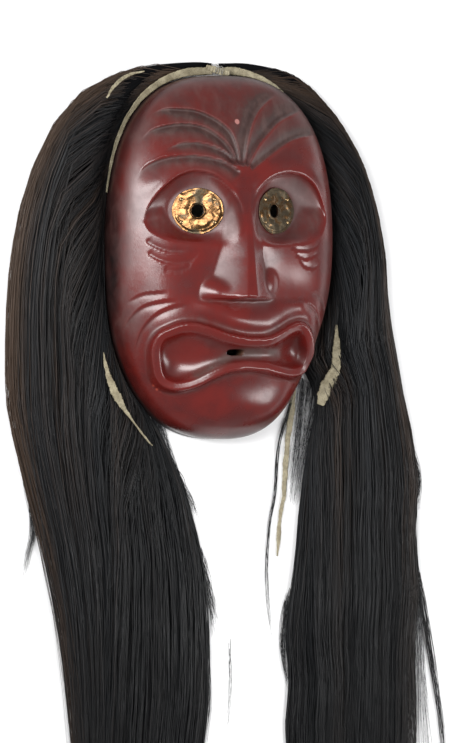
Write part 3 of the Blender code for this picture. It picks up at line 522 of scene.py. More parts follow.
# %% [markdown]
# The strips are dry rawhide from the horse's tail: pale, faintly green, scraped along their length,
# darker in patches and flecked with small specks. The hair is black; the cold grey in its colour is
# a painted sheen, and some strands are brown. Each strand carries two numbers, how much of that
# painted sheen it shows and how brown it is.

# %% Rawhide and horsehair
HIDE_PALE, HIDE_DULL = (0.310, 0.272, 0.180), (0.195, 0.166, 0.102)
HIDE_SCRAPED, HIDE_SPECKS = (0.105, 0.088, 0.056), (0.020, 0.016, 0.012)
THREAD_DARK, THREAD_PALE = (0.17, 0.165, 0.15), (0.36, 0.35, 0.32)
# Each kind of hair: its dark colour, a cold grey that paints its sheen, and its brown colour.
HAIR_AND_SHEEN_COLOURS = ((0.0036, 0.0043, 0.0055), (0.0185, 0.0215, 0.0260), (0.0480, 0.0290, 0.0185))
BURIED_COLOURS = ((0.0030, 0.0031, 0.0036), (0.0080, 0.0085, 0.0095), (0.0120, 0.0080, 0.0060))


def rawhide():
    f = Finish("dry rawhide")
    clouds = f.noise(150.0, 5.0, 0.65)
    scraped = f.noise(900.0, 4.0, 0.65)
    pale = f.mix(f.spread(clouds, 0.35, 0.65), HIDE_PALE, HIDE_DULL)
    skin = f.mix(f.spread(scraped, 0.50, 0.72), pale, HIDE_SCRAPED)
    skin = f.mix(f.spread(f.noise(1500.0, 2.0, 0.5), 0.66, 0.70), skin, HIDE_SPECKS)
    normal = f.bump(scraped, 0.00012, 0.7, f.bump(clouds, 0.0006, 0.6))
    return f.finish(skin, f.spread(scraped, 0.3, 0.7, 0.55, 0.75), normal)


def horsehair(name, colours, rough, gloss):
    f = Finish(name)
    dark, grey, brown = colours
    along = f.noise(22.0, 3.0, 0.5)
    # The light colour is a cold grey that paints the hair's sheen, or brown for brown strands; the shade
    # number sets how much of it shows.
    light = f.mix(f.attribute("brown"), grey, brown)
    share = f.spread(f.plus(f.attribute("shade"), f.times(along, 0.30)), 0.25, 1.15)
    colour = f.mix(share, dark, light)
    return f.finish(colour, f.spread(along, 0.3, 0.7, rough, rough + 0.14), None, Specular_IOR_Level=gloss)


def thread():
    f = Finish("grey thread")
    twist = f.noise(1.0, 2.0, 0.5, f.stretched((2600.0, 900.0, 2600.0)))
    colour = f.mix(f.spread(twist, 0.35, 0.65), THREAD_DARK, THREAD_PALE)
    return f.finish(colour, 0.85, f.bump(twist, 0.0001, 0.6))


RAWHIDE, THREAD = rawhide(), thread()
HAIR = horsehair("black-brown horsehair", HAIR_AND_SHEEN_COLOURS, 0.40, 0.30)
HAIR_CORE = horsehair("buried horsehair", BURIED_COLOURS, 0.75, 0.05)

# %% [markdown]
# ## The carved face
#
# The real face is one block of basswood, shaped with a crooked knife: a deep dome, an undercut
# nose, eye sockets and a mouth whose raised lips open into a bowl at each end. Sculpting by hand
# would not repeat, so the carving is a height over the back plane, built up from named cuts.
# The outline is a squared oval with a tighter jaw on the right, where the cheek beside the mouth
# is drawn in as well.

# %% Outline and dome
OUTLINE_POWERS = (2.65, 2.45)
JAW_TAPER, JAW_START, JAW_REACH = (0.02, 0.09), 0.30, 0.65
CHEEK_DRAW = dict(share=0.095, level=-0.58, spread=0.36)
COLLAR_HEIGHT, DOME_HEIGHT = 0.011, 0.042
HOLLOW_WALL, HOLLOW_COLLAR, HOLLOW_DOME = 0.0105, 0.004, 0.034


def rim(angle, shrink=0.0):
    """A point of the outline at an angle from +X, drawn in by a wall thickness."""
    c, s = np.cos(angle), np.sin(angle)
    power = np.where(s >= 0.0, *OUTLINE_POWERS)
    reach = (np.abs(c) ** power + np.abs(s) ** power) ** (-1.0 / power)
    taper = np.where(c < 0.0, *JAW_TAPER) * smooth((-s * reach - JAW_START) / JAW_REACH)
    drawn_in = np.exp(-((s * reach - CHEEK_DRAW["level"]) / CHEEK_DRAW["spread"]) ** 2)
    taper = taper + np.where(c < 0.0, 0.0, CHEEK_DRAW["share"]) * drawn_in
    return (FACE_WIDTH / 2 - shrink) * c * reach * (1.0 - taper), (FACE_HEIGHT / 2 - shrink) * s * reach


def dome_grid(count, shrink=0.0):
    """A square grid bent over the dome: where its points lie, how far out and how high they are."""
    line = np.linspace(-1.0, 1.0, count)
    u, v = np.meshgrid(line, line, indexing="ij")
    dx, dy = u * np.sqrt(1.0 - v * v / 2.0), v * np.sqrt(1.0 - u * u / 2.0)
    radius = np.minimum(np.hypot(dx, dy), 1.0)
    edge_x, edge_y = rim(np.arctan2(dy, dx), shrink)
    spread, rise = np.sin(radius * math.pi / 2), np.cos(radius * math.pi / 2)
    return edge_x * spread, edge_y * spread, spread, rise


# %% [markdown]
# Furrows fan out from the root of the nose, wrinkles from the eyes, and folds from the nostrils.
# Each one is a knife line: the wood drops steeply right beside the line, like the edge of a
# shingle, and rises again slowly in a shallow scoop. A line is drawn by its points in millimetres;
# its side says on which hand of it the wood drops.

# %% Knife lines
LEFT_FURROWS = (
    dict(side=-1, width=0.0095, depth=0.0026,
         points=((-62.0, 99.5), (-56.3, 103.5), (-48.3, 106.3), (-37.6, 106.3), (-26.5, 104.9),
                 (-14.7, 99.5), (-5.1, 92.0), (-0.6, 84.1), (2.2, 73.4), (3.1, 65.5))),
    dict(side=-1, width=0.0090, depth=0.0026,
         points=((-68.4, 82.0), (-63.7, 87.7), (-57.7, 92.0), (-47.0, 94.9), (-35.1, 95.6),
                 (-23.8, 93.4), (-14.0, 87.7), (-5.0, 79.1), (0.9, 67.7))),
    dict(side=-1, width=0.0078, depth=0.0018,
         points=((-56.5, 74.1), (-52.3, 77.0), (-41.0, 81.6), (-29.5, 82.0), (-17.2, 79.1), (-5.5, 73.4),
                 (0.7, 65.5))),
    dict(side=-1, width=0.0095, depth=0.0022,
         points=((-73.0, 54.0), (-66.6, 64.8), (-53.5, 71.2), (-41.8, 72.7), (-30.4, 72.7),
                 (-14.3, 69.8), (-3.2, 64.8), (2.7, 59.8))),
)
RIGHT_FURROWS = (
    dict(side=1, width=0.0120, depth=0.0028,
         points=((5.0, 63.5), (10.1, 85.9), (18.2, 102.0), (28.1, 110.9), (40.8, 117.1))),
    dict(side=1, width=0.0115, depth=0.0028,
         points=((7.0, 63.0), (15.0, 77.0), (25.8, 88.4), (39.1, 98.5), (64.8, 107.0))),
    dict(side=1, width=0.0110, depth=0.0024,
         points=((9.5, 61.0), (21.5, 69.8), (40.0, 81.3), (54.9, 86.0), (75.7, 87.6))),
)
EYE_WRINKLES = (
    dict(side=1, width=0.0052, depth=0.0006,
         points=((-68.3, 11.4), (-65.7, 8.9), (-61.1, 6.2), (-54.4, 3.5), (-46.0, 2.6), (-37.0, 3.5))),
    dict(side=1, width=0.0052, depth=0.0006,
         points=((-67.6, 2.2), (-61.1, -2.0), (-54.4, -4.7), (-46.0, -5.7), (-37.0, -3.8), (-32.0, 1.8),
                 (-30.2, 7.5))),
    dict(side=1, width=0.0050, depth=0.0003,
         points=((-56.1, -10.2), (-47.6, -11.7), (-38.7, -8.2), (-35.1, -1.1))),
    dict(side=1, width=0.0046, depth=0.0008,
         points=((39.2, 6.2), (49.2, 3.9), (61.1, 5.7), (68.2, 11.0))),
    dict(side=1, width=0.0046, depth=0.0008,
         points=((43.6, 0.8), (53.8, -1.7), (66.5, 2.2))),
    dict(side=1, width=0.0046, depth=0.0007,
         points=((46.9, -2.0), (52.2, -7.1), (61.1, -8.5), (67.1, -4.7))),
)
CHEEK_FOLDS = (
    dict(side=1, width=0.0060, depth=0.0005,
         points=((-52.0, -24.5), (-60.8, -25.0), (-70.4, -26.6), (-79.5, -33.0))),
    dict(side=1, width=0.0070, depth=0.0008,
         points=((-44.0, -30.0), (-57.3, -31.4), (-68.5, -34.8), (-75.0, -41.6), (-78.7, -50.4),
                 (-79.6, -61.0))),
    dict(side=1, width=0.0075, depth=0.0009,
         points=((-38.0, -33.0), (-50.1, -35.2), (-61.2, -41.0), (-68.1, -49.9), (-71.2, -59.9),
                 (-71.6, -72.0))),
    dict(side=-1, width=0.0060, depth=0.0009,
         points=((57.0, -25.0), (66.0, -26.0), (74.0, -33.0), (77.0, -44.0))),
    dict(side=-1, width=0.0070, depth=0.0012,
         points=((50.0, -31.0), (60.0, -34.0), (68.5, -42.0), (72.5, -55.0))),
)
# Each group with the shares of a line over which it fades in and out.
LINE_GROUPS = (
    (LEFT_FURROWS, (0.32, 0.05)), (RIGHT_FURROWS, (0.05, 0.35)),
    (EYE_WRINKLES, (0.06, 0.30)), (CHEEK_FOLDS, (0.25, 0.25)),
)
SCOOP_RISE, SCOOP_WALL, SCOOP_SCALE = 0.45, 0.10, 1.98
CREST_SHARE, CREST_REACH = 0.14, 0.10


def knife_lines(x, y, groups=LINE_GROUPS):
    """Furrows, wrinkles and folds as a height change."""
    height = np.zeros(x.shape)
    for lines, (fade_in, fade_out) in groups:
        for line in lines:
            gap, side, along = line_measures(x, y, drawn(line["points"]))
            across = gap * side * line["side"] / line["width"]
            fade = smooth(along / fade_in) * smooth((1.0 - along) / fade_out)
            into = np.maximum(across, 0.0)
            scoop = SCOOP_SCALE * (np.exp(-into / SCOOP_RISE) - np.exp(-into / SCOOP_WALL))
            crest = CREST_SHARE * np.exp(-(across / CREST_REACH) ** 2)
            height += line["depth"] * fade * (crest - scoop)
    return height


# %% [markdown]
# The nose is a narrow crest that leans a little and widens toward its tip. Its left flank is broad
# and its right one steep. It stops at a flat, undercut base, with a soft wing on each side.

# %% Nose
NOSE_STOPS_Y = (-0.031, 0.0, 0.0245, 0.036, 0.050)
NOSE_HEIGHTS = (0.0180, 0.0108, 0.0052, 0.0030, 0.0)
NOSE_CENTRE_X = (0.0008, 0.0031, 0.0037, 0.0032, 0.0020)
NOSE_CREST_HALF = (0.0037, 0.0020, 0.0014, 0.0026, 0.0060)
NOSE_FOOT_LEFT = (0.0280, 0.0220, 0.0160, 0.0120, 0.0100)
NOSE_FOOT_RIGHT = (0.0260, 0.0125, 0.0085, 0.0080, 0.0100)
NOSE_BASE_Y, NOSE_BASE_DROP = -0.0312, 0.0024
FLANK_SHARES, FLANK_CURVE = (0.30, 0.70), 1.22
WING_BLEND, WING_CURVE = 0.0080, 1.5
WINGS = (dict(x=-0.0185, y=-0.0255, across=0.0135, along=0.0130, height=0.0064),
         dict(x=0.0205, y=-0.0190, across=0.0092, along=0.0115, height=0.0037))


def nose(x, y):
    """The nose's height over the dome."""
    crest, centre, half, left, right_foot = (
        np.interp(y, NOSE_STOPS_Y, stops)
        for stops in (NOSE_HEIGHTS, NOSE_CENTRE_X, NOSE_CREST_HALF, NOSE_FOOT_LEFT, NOSE_FOOT_RIGHT))
    foot = np.where(x < centre, left, right_foot)
    slope = np.clip((np.abs(x - centre) - half) / (foot - half), 0.0, 1.0)
    round_share, straight_share = FLANK_SHARES
    joined = crest * (round_share * (1.0 - smooth(slope)) + straight_share * (1.0 - slope) ** FLANK_CURVE)
    for wing in WINGS:
        oval = ((x - wing["x"]) / wing["across"]) ** 2 + ((y - wing["y"]) / wing["along"]) ** 2
        bulge = wing["height"] * np.clip(1.0 - oval, 0.0, 1.0) ** WING_CURVE
        overlap = np.maximum(WING_BLEND - np.abs(joined - bulge), 0.0) ** 2 / (4.0 * WING_BLEND)
        joined = np.maximum(joined, bulge) + overlap * smooth(np.minimum(joined, bulge) / WING_BLEND)
    return joined * smooth((y - NOSE_BASE_Y) / NOSE_BASE_DROP)


# %% [markdown]
# Each socket is a drawn outline with a crisp upper edge under the brow, which runs on into the
# nose's crest. Inside it the wood falls to a flat seat, tilted outward, on which the metal disc is
# tacked. A faint rise runs from the outer corner to the disc, where the two lids meet.

# %% Eyes
EYE_X, EYE_Y = FACE_WIDTH * 0.1743, FACE_HEIGHT * 0.1270
DISC_HALF = (0.0187, 0.0166)
DISC_TILT = math.radians(26.5)
SEAT_HEIGHT, SEAT_REACH = 0.0425, 1.04
SOCKET_STEP, SOCKET_STEP_WIDTH, SOCKET_CURVE = 0.0022, 0.0020, 0.45
SOCKET_LEFT = (
    (-69.0, 27.0), (-65.0, 37.3), (-56.5, 49.0), (-45.5, 58.2), (-33.0, 62.0), (-18.5, 59.0),
    (-7.5, 50.3), (-1.0, 40.0), (0.8, 30.0), (-0.5, 18.0), (-8.0, 9.0), (-22.0, 9.0), (-35.0, 10.0),
    (-46.5, 11.0), (-57.4, 14.0), (-66.0, 19.4),
)
SOCKET_RIGHT = (
    (73.5, 28.0), (72.0, 36.0), (68.3, 44.0), (62.0, 52.6), (53.5, 58.4), (42.2, 61.0), (31.5, 60.0),
    (21.0, 55.5), (12.5, 47.0), (7.8, 37.0), (6.4, 24.0), (9.0, 13.0), (22.9, 8.5), (39.5, 8.7),
    (55.4, 10.4), (66.5, 15.2), (72.2, 22.0),
)
BROW_ROLL = dict(outside=0.0050, spread=0.0060, height=0.0011)
BROW_EDGE = dict(outside=0.0004, spread=0.0013, height=0.0007)
BROW_LEVEL, CRISP_LEVEL, BROW_EASE = 0.006, 0.012, 0.016
LID_RISE = dict(points=((-69.0, 27.0), (-60.0, 29.0), (-46.0, 30.0)), width=0.0050, height=0.0016)
PUPIL_SHIFT = {-1: 0.0, 1: -0.0034}


def beside(inside, spec):
    """A soft rise that runs along an outline, at a distance outside it."""
    return np.exp(-((inside + spec["outside"]) / spec["spread"]) ** 2)


def eyes(x, y, z):
    """Cut both sockets into a height field."""
    for mirror, outline in ((-1, SOCKET_LEFT), (1, SOCKET_RIGHT)):
        inside = inside_distance(x, y, drawn(outline, closed=True))
        over = smooth((y - EYE_Y - BROW_LEVEL) / BROW_EASE)
        for spec in (BROW_ROLL, BROW_EDGE):
            z = z + over * spec["height"] * beside(inside, spec)
        gap, _, along = line_measures(x * -mirror, y, drawn(LID_RISE["points"]))
        lids = LID_RISE["height"] * np.exp(-(gap / LID_RISE["width"]) ** 2) * smooth(along / 0.3 + 0.4)
        crisp = smooth((y - EYE_Y + CRISP_LEVEL) / BROW_EASE)
        step = SOCKET_STEP * crisp * smooth(inside / SOCKET_STEP_WIDTH)
        reach = np.hypot((x - mirror * EYE_X) / DISC_HALF[0], (y - EYE_Y) / DISC_HALF[1])
        beyond = np.maximum(reach - SEAT_REACH, 0.0) * DISC_HALF[1]
        share = beyond / np.maximum(beyond + np.maximum(inside, 0.0), 1e-9)
        floor = SEAT_HEIGHT - (x * mirror - EYE_X) * math.tan(DISC_TILT)
        bank = (z - step - floor) * share ** (1.0 + SOCKET_CURVE * crisp)
        z = np.where(inside > 0.0, floor + bank + lids * smooth(share / 0.3), z)
    return z


# %% [markdown]
# The mouth is the mask's voice. A thin raised edge follows one closed line, wide at both ends and
# narrow in the middle. Inside it a band slopes in, and then the wood falls away into a bowl at each
# end. A broad roll of flesh runs between the nose and the mouth, and the mouth's right corner
# stands higher than the cheek around it.

# %% Mouth
MOUTH_RIM = (
    (-62.8, -66.0), (-59.5, -56.0), (-52.0, -51.2), (-43.6, -48.3), (-34.5, -48.3), (-25.1, -50.8),
    (-14.4, -54.6), (-3.9, -57.2), (8.0, -58.6), (21.0, -57.8), (31.7, -53.5), (40.9, -49.0),
    (49.5, -47.6), (56.5, -52.0), (60.6, -61.2), (61.6, -70.5), (58.5, -79.5), (52.7, -83.6),
    (42.5, -84.8), (29.0, -82.7), (18.2, -80.6), (5.5, -79.8), (-8.5, -81.4), (-19.7, -86.0),
    (-29.6, -91.3), (-39.5, -94.4), (-48.0, -94.2), (-55.6, -90.2), (-60.4, -81.0),
)
LIP_HEIGHT, LIP_OUTER_SLOPE, LIP_BAND, LIP_BAND_DROP = 0.0054, 0.0034, 0.0050, 0.0026
BOWL_DEPTH, BOWL_SLOPE, LIP_OUTER_CURVE, BOWL_ROUNDING = 0.0056, 0.0042, 1.5, 14
BOWLS = (dict(x=-0.0430, y=-0.0715, across=0.0145, along=0.0130, height=-0.0045),
         dict(x=0.0470, y=-0.0665, across=0.0120, along=0.0120, height=-0.0040))
UPPER_LIP_ROLL = dict(outside=0.0135, spread=0.0072, height=0.0021)
LIP_TRENCH = dict(outside=0.0050, spread=0.0026, depth=0.0008)
LIP_PLEATS = dict(x=0.008, reach=0.014, ease=0.004, pitch=0.0027, slant=40.0,
                  outside=0.0022, spread=0.0016, depth=0.00028)
# The roll, the trench and the pleats run over this span, above this level and below the nose.
ROLL_SPAN = dict(left=-0.040, left_ease=0.020, right=0.062, right_ease=0.014)
ROLL_LEVEL, ROLL_LEVEL_EASE, ROLL_TOP_GAP, ROLL_TOP_EASE = -0.066, 0.010, 0.002, 0.005
MUZZLE = dict(x=0.0, y=-0.062, across=0.044, along=0.030, height=0.0062)
CHIN = dict(x=0.012, y=-0.110, across=0.030, along=0.014, height=0.0056)
CHEEKBONE = dict(x=0.0140, y=0.011, across=0.0160, along=0.0150, height=0.0042, start=0.004, ease=0.010)
CHEEK_HOLLOW = dict(x=0.0480, y=-0.022, across=0.0190, along=0.0150, height=-0.0018)
MOUTH_CORNER = dict(x=0.0630, y=-0.0700, across=0.0120, along=0.0200, height=0.0052)
MOUTH_SLOT = dict(x=-0.0037, y=-0.0680, length=0.0132, width=0.0046)


def swelling(x, y, spec):
    """A soft rounded rise."""
    across, along = (x - spec["x"]) / spec["across"], (y - spec["y"]) / spec["along"]
    return spec["height"] * np.exp(-across ** 2 - along ** 2)


def blurred(field, rounds):
    """A height field, softened by passes over its neighbours."""
    for _ in range(rounds):
        padded = np.pad(field, 1, mode="edge")
        sides = padded[:-2, 1:-1] + padded[2:, 1:-1] + padded[1:-1, :-2] + padded[1:-1, 2:]
        field = (sides + padded[1:-1, 1:-1]) / 5
    return field


def mouth(x, y, z):
    """Raise the lips and hollow the bowls in a height field."""
    inside = inside_distance(x, y, drawn(MOUTH_RIM, closed=True))
    lip = LIP_HEIGHT * np.clip(1.0 + inside / LIP_OUTER_SLOPE, 0.0, 1.0) ** LIP_OUTER_CURVE
    band = LIP_BAND_DROP * np.clip(inside / LIP_BAND, 0.0, 1.0)
    rounded = inside + (blurred(inside, BOWL_ROUNDING) - inside) * smooth((inside - LIP_BAND) / BOWL_SLOPE)
    fall = 1.0 - np.exp(-np.maximum(rounded - LIP_BAND, 0.0) / BOWL_SLOPE)
    z = z + lip - band - (LIP_HEIGHT - LIP_BAND_DROP + BOWL_DEPTH) * fall
    for spoon in BOWLS:
        z = z + swelling(x, y, spoon) * smooth((inside - LIP_BAND) / LIP_BAND)
    from_left = smooth((x - ROLL_SPAN["left"]) / ROLL_SPAN["left_ease"])
    across = from_left * smooth((ROLL_SPAN["right"] - x) / ROLL_SPAN["right_ease"])
    above = across * smooth((y - ROLL_LEVEL) / ROLL_LEVEL_EASE)
    under_nose = smooth((NOSE_BASE_Y + ROLL_TOP_GAP - y) / ROLL_TOP_EASE)
    z = z + above * under_nose * UPPER_LIP_ROLL["height"] * beside(inside, UPPER_LIP_ROLL)
    pleats = above * smooth((LIP_PLEATS["reach"] - np.abs(x - LIP_PLEATS["x"])) / LIP_PLEATS["ease"])
    waves = 1.0 + np.cos(2 * math.pi * x / LIP_PLEATS["pitch"] + LIP_PLEATS["slant"] * y)
    z = z - pleats * beside(inside, LIP_PLEATS) * LIP_PLEATS["depth"] * waves
    return z - above * LIP_TRENCH["depth"] * beside(inside, LIP_TRENCH)


def carved_height(x, y, dome):
    """The whole carving over the back plane."""
    z = dome + knife_lines(x, y) + swelling(x, y, MUZZLE) + swelling(x, y, CHIN)
    z = z + swelling(x, y, CHEEKBONE) * smooth((x - CHEEKBONE["start"]) / CHEEKBONE["ease"])
    z = z + swelling(x, y, CHEEK_HOLLOW) + swelling(x, y, MOUTH_CORNER)
    return mouth(x, y, eyes(x, y, z) + nose(x, y))


# %% [markdown]
# The paint is darker where smoke and hands have left it so. Creases, furrows and sockets count as
# hollow, and the upper brow as smoked. Toward the rim the smoke number carries painted shade, and
# the soot number darkens the left rim near black and the very edge all round: painted shade. Real
# soot lies in the channel by the slot, and pale dust in the channel that runs through the mouth.

# %% Paint numbers
PAINT_NAMES = ("hollow", "crest", "smoke_and_rim_shade", "bare", "soot_and_shade", "dust")
CARVING_BLUR = 12
CREASE_DEPTH, CREST_HEIGHT, FURROW_DEPTH, CREASE_SHARE = 0.0010, 0.0006, 0.0016, 0.45
SOCKET_SHARES, SOCKET_EDGE = ((SOCKET_LEFT, 0.50), (SOCKET_RIGHT, 0.72)), 0.007
CHANNEL = ((-30.0, -84.5), (-19.0, -77.5), (-4.0, -69.5), (16.0, -67.6), (33.0, -69.0))
CHANNEL_WIDTH, CHANNEL_DUST, CHANNEL_SOOT = 0.0034, 0.85, 0.60


def paint_numbers(x, y, spread, carving):
    """Six numbers for each spot of the carved side, in the order of their names."""
    around = blurred(carving, CARVING_BLUR)
    creases = np.clip((around - carving) / CREASE_DEPTH, 0.0, 1.0)
    # Proud spots, which the paint shows lighter: partly wear, partly a painted highlight.
    crest = np.clip((carving - around) / CREST_HEIGHT, 0.0, 1.0)
    furrows = np.clip(-knife_lines(x, y, LINE_GROUPS[:2]) / FURROW_DEPTH, 0.0, 1.0)
    hollow = np.maximum(CREASE_SHARE * creases, furrows)
    for outline, amount in SOCKET_SHARES:
        in_socket = inside_distance(x, y, drawn(outline, closed=True))
        hollow = np.maximum(hollow, amount * smooth(in_socket / SOCKET_EDGE))
    # Toward the rim the paint is darkened, less on the lower face: painted shade.
    low_face = smooth((-0.045 - y) / 0.04)
    shaded_rim = smooth((spread - 0.80) / 0.2) * (1.0 - 0.75 * low_face)
    smoke_and_rim_shade = np.maximum(shaded_rim, 0.75 * smooth((y - 0.055) / 0.060))
    # The left rim is darkened near black, and the very edge all round less: painted shade.
    shaded_left_rim = smooth((-x / (FACE_WIDTH / 2) - 0.925) / 0.065) * smooth((spread - 0.90) / 0.08)
    soot_and_shade = np.maximum(shaded_left_rim, 0.55 * smooth((spread - 0.96) / 0.035))
    from_channel, _, _ = line_measures(x, y, drawn(CHANNEL))
    in_channel = np.exp(-(from_channel / CHANNEL_WIDTH) ** 2)
    soot_and_shade = np.maximum(soot_and_shade, CHANNEL_SOOT * in_channel * smooth((0.020 - np.abs(x + 0.002)) / 0.012))
    numbers = [hollow, crest, smoke_and_rim_shade, np.zeros_like(x), soot_and_shade, CHANNEL_DUST * in_channel]
    return np.stack(numbers, axis=-1).reshape(-1, len(PAINT_NAMES))


# %% [markdown]
# The shell is two grids: the carved outside, and a plain hollow with a third of its cells. Their
# borders meet in rings around the flat rim. Sight holes and the slot between the lips are cut
# through with Boolean modifiers.

# %% The shell
FACE_CELLS, RIM_FADE_START = 288, 0.93
# The rings under the collar: height over the back plane, and how far each is drawn in.
RIM_RINGS = ((0.0075, 1.0), (0.0038, 1.0), (0.0010, 1.0), (0.0, 0.993))
# Paint numbers of the rings before their soot, and of the back. The rings' high smoke number
# and their soot, more on the left, are painted shade at the rim.
RIM_NUMBERS, RIM_SOOT_AND_SHADE = (0.2, 0.0, 0.9, 0.0), (0.9, 0.6)
BACK_NUMBERS = (0.1, 0.0, 0.4, 1.0, 0.0, 0.0)


def border(rows, columns):
    """Indices around the edge of a grid."""
    below, beyond = rows - 1, columns - 1
    cells = [(i, 0) for i in range(below)] + [(below, j) for j in range(beyond)]
    cells += [(i, beyond) for i in range(below, 0, -1)] + [(0, j) for j in range(beyond, 0, -1)]
    return [i * columns + j for i, j in cells]


def grid_faces(rows, columns):
    """Quads of a grid."""
    i, j = np.meshgrid(np.arange(rows - 1), np.arange(columns - 1), indexing="ij")
    a = (i * columns + j).reshape(-1)
    return np.stack([a, a + columns, a + columns + 1, a + 1], axis=1)


def outside_of_face(count):
    """The carved grid: its points, its quads and its paint numbers."""
    x, y, spread, rise = dome_grid(count)
    dome = COLLAR_HEIGHT + DOME_HEIGHT * rise
    fade = 1.0 - smooth((spread - RIM_FADE_START) / (1.0 - RIM_FADE_START))
    carving = (carved_height(x, y, dome) - dome) * fade
    points = np.stack([x, y, dome + carving], axis=-1).reshape(-1, 3)
    return points, grid_faces(count, count).tolist(), paint_numbers(x, y, spread, carving)


def face_shell():
    """Points, faces and paint numbers of the hollow face."""
    count, small = FACE_CELLS + 1, FACE_CELLS // 3 + 1
    outside, faces, numbers = outside_of_face(count)
    points, paint = [outside], [numbers]
    outer, first = border(count, count), count * count
    edge = outside[outer]
    for height, drawn_in in RIM_RINGS:
        ring = np.column_stack([edge[:, 0] * drawn_in, edge[:, 1] * drawn_in, np.full(len(edge), height)])
        ids = list(range(first, first + len(ring)))
        faces += [(outer[k - 1], outer[k], ids[k], ids[k - 1]) for k in range(len(ids))]
        points.append(ring)
        # The rings under the collar are darkened as painted shade, more on the left.
        soot_and_shade = np.where(ring[:, 0] < 0.0, *RIM_SOOT_AND_SHADE)
        paint.append(np.column_stack([np.tile(RIM_NUMBERS, (len(ring), 1)), soot_and_shade, np.zeros(len(ring))]))
        outer, first = ids, first + len(ring)
    x, y, _, rise = dome_grid(small, HOLLOW_WALL)
    back = np.stack([x, y, HOLLOW_COLLAR + HOLLOW_DOME * rise], axis=-1).reshape(-1, 3)
    back_edge = border(small, small)
    low = back[back_edge] * [1.0, 1.0, 0.0]
    ids = list(range(first, first + len(low)))
    for k in range(len(ids)):
        a, b = outer[3 * k - 3:3 * k] if k else outer[-3:], outer[(3 * k) % len(outer)]
        faces += [(a[0], a[1], ids[k - 1]), (a[1], a[2], ids[k], ids[k - 1]), (a[2], b, ids[k])]
    first += len(low)
    top = [first + i for i in back_edge]
    faces += [(ids[k - 1], ids[k], top[k], top[k - 1]) for k in range(len(ids))]
    faces += (grid_faces(small, small) + first).tolist()
    paint.append(np.tile(BACK_NUMBERS, (len(low) + len(back), 1)))
    return np.vstack([*points, low, back]), faces, np.vstack(paint)


# %% Cut the holes and store the paint numbers
WOOD_HOLE_RADIUS, WOOD_HOLE_DEPTH = 0.0075, 0.04
SLOT_CUT_DEPTH, SLOT_CUT_HEIGHT, SLOT_SIDES, SLOT_SQUARENESS = 0.05, 0.036, 48, 3.2


def cutting_tool(name, place, size, sides=40, squareness=2.0):
    """An upright tool of oval or squared section that a Boolean modifier takes away."""
    mesh = bmesh.new()
    bmesh.ops.create_cone(mesh, cap_ends=True, segments=sides, radius1=1.0, radius2=1.0, depth=size[2])
    for vert in mesh.verts:
        x, y = vert.co.x, vert.co.y
        reach = (abs(x) ** squareness + abs(y) ** squareness) ** (-1.0 / squareness)
        vert.co.x, vert.co.y = x * reach * size[0], y * reach * size[1]
    bmesh.ops.translate(mesh, vec=place, verts=mesh.verts)
    data = bpy.data.meshes.new(name)
    mesh.to_mesh(data)
    mesh.free()
    return add_object(name, data)


def cutting_tools():
    """A round tool for each sight hole, and a squared one for the slot."""
    px, py, _ = FACE_PLACE
    hole_size = (WOOD_HOLE_RADIUS, WOOD_HOLE_RADIUS, WOOD_HOLE_DEPTH)
    tools = []
    for number, side in enumerate((-1, 1)):
        x = side * (EYE_X + PUPIL_SHIFT[side] * math.cos(DISC_TILT))
        place = (px + x, py + EYE_Y, SEAT_HEIGHT)
        tools.append(cutting_tool(f"sight hole {number}", place, hole_size))
    place = (px + MOUTH_SLOT["x"], py + MOUTH_SLOT["y"], SLOT_CUT_HEIGHT)
    size = (MOUTH_SLOT["length"] / 2, MOUTH_SLOT["width"] / 2, SLOT_CUT_DEPTH)
    return tools + [cutting_tool("mouth slot", place, size, SLOT_SIDES, SLOT_SQUARENESS)]


def carve_face():
    """The pierced shell, with the paint numbers of the nearest drawn point on each point."""
    points, faces, paint = face_shell()
    points = points + FACE_PLACE
    face = mesh_piece("carved_face", points, faces, PAINT)
    turn_outward(face)
    tools = cutting_tools()
    for tool in tools:
        cut = face.modifiers.new(tool.name, "BOOLEAN")
        cut.operation, cut.solver, cut.object = "DIFFERENCE", "EXACT", tool
    applied(face)
    for tool in tools:
        bpy.data.objects.remove(tool, do_unlink=True)
    tree = KDTree(len(points))
    for i, p in enumerate(points):
        tree.insert(p, i)
    tree.balance()
    nearest = [tree.find(v.co)[1] for v in face.data.vertices]
    for column, name in enumerate(PAINT_NAMES):
        store(face.data, name, paint[nearest, column])
    face.data.polygons.foreach_set("use_smooth", [True] * len(face.data.polygons))
    return face


face = carve_face()
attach(face, "root")
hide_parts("face")
print("face triangles:", triangle_count(face))

# %% [markdown]
# ## Eye discs
#
# Each disc is thin sheet, cut by eye with shears, laid on its seat and beaten down, so it is full
# of small flat dents with soft borders. Bump alone would leave it as flat as a coin, so the dents
# are real: a few dozen random planes, where every spot follows the planes of the nearest dents.
# The edge of the sight hole is turned up, and the lower edge of the disc is bent down to the wood.

# %% Dents of the sheet
DISC_LIFT, DISC_THICKNESS, DISC_CLEARANCE = 0.0009, 0.0006, 0.0004
PUPIL_RADIUS, PUPIL_LIP, PUPIL_LIP_WIDTH = 0.0047, 0.0006, 0.0007
DENT_COUNT, DENT_SOFTNESS, DENT_LEAN, DENT_DEPTH = 44, 0.00080, {-1: 0.062, 1: 0.100}, 0.00007
DISC_SEED, EDGE_BEND, EDGE_START, EDGE_WIDTH, DISHED = 70, 0.0005, 0.84, 0.10, {-1: 1.1, 1: 0.3}
SIDES = ((-1, "left"), (1, "right"))


def disc_matrix(side):
    """The plane of one disc: its middle on the seat, and its tilt outward."""
    place = Vector(FACE_PLACE) + Vector((side * EYE_X, EYE_Y, SEAT_HEIGHT))
    return Matrix.Translation(place) @ Matrix.Rotation(side * DISC_TILT, 4, "Y")


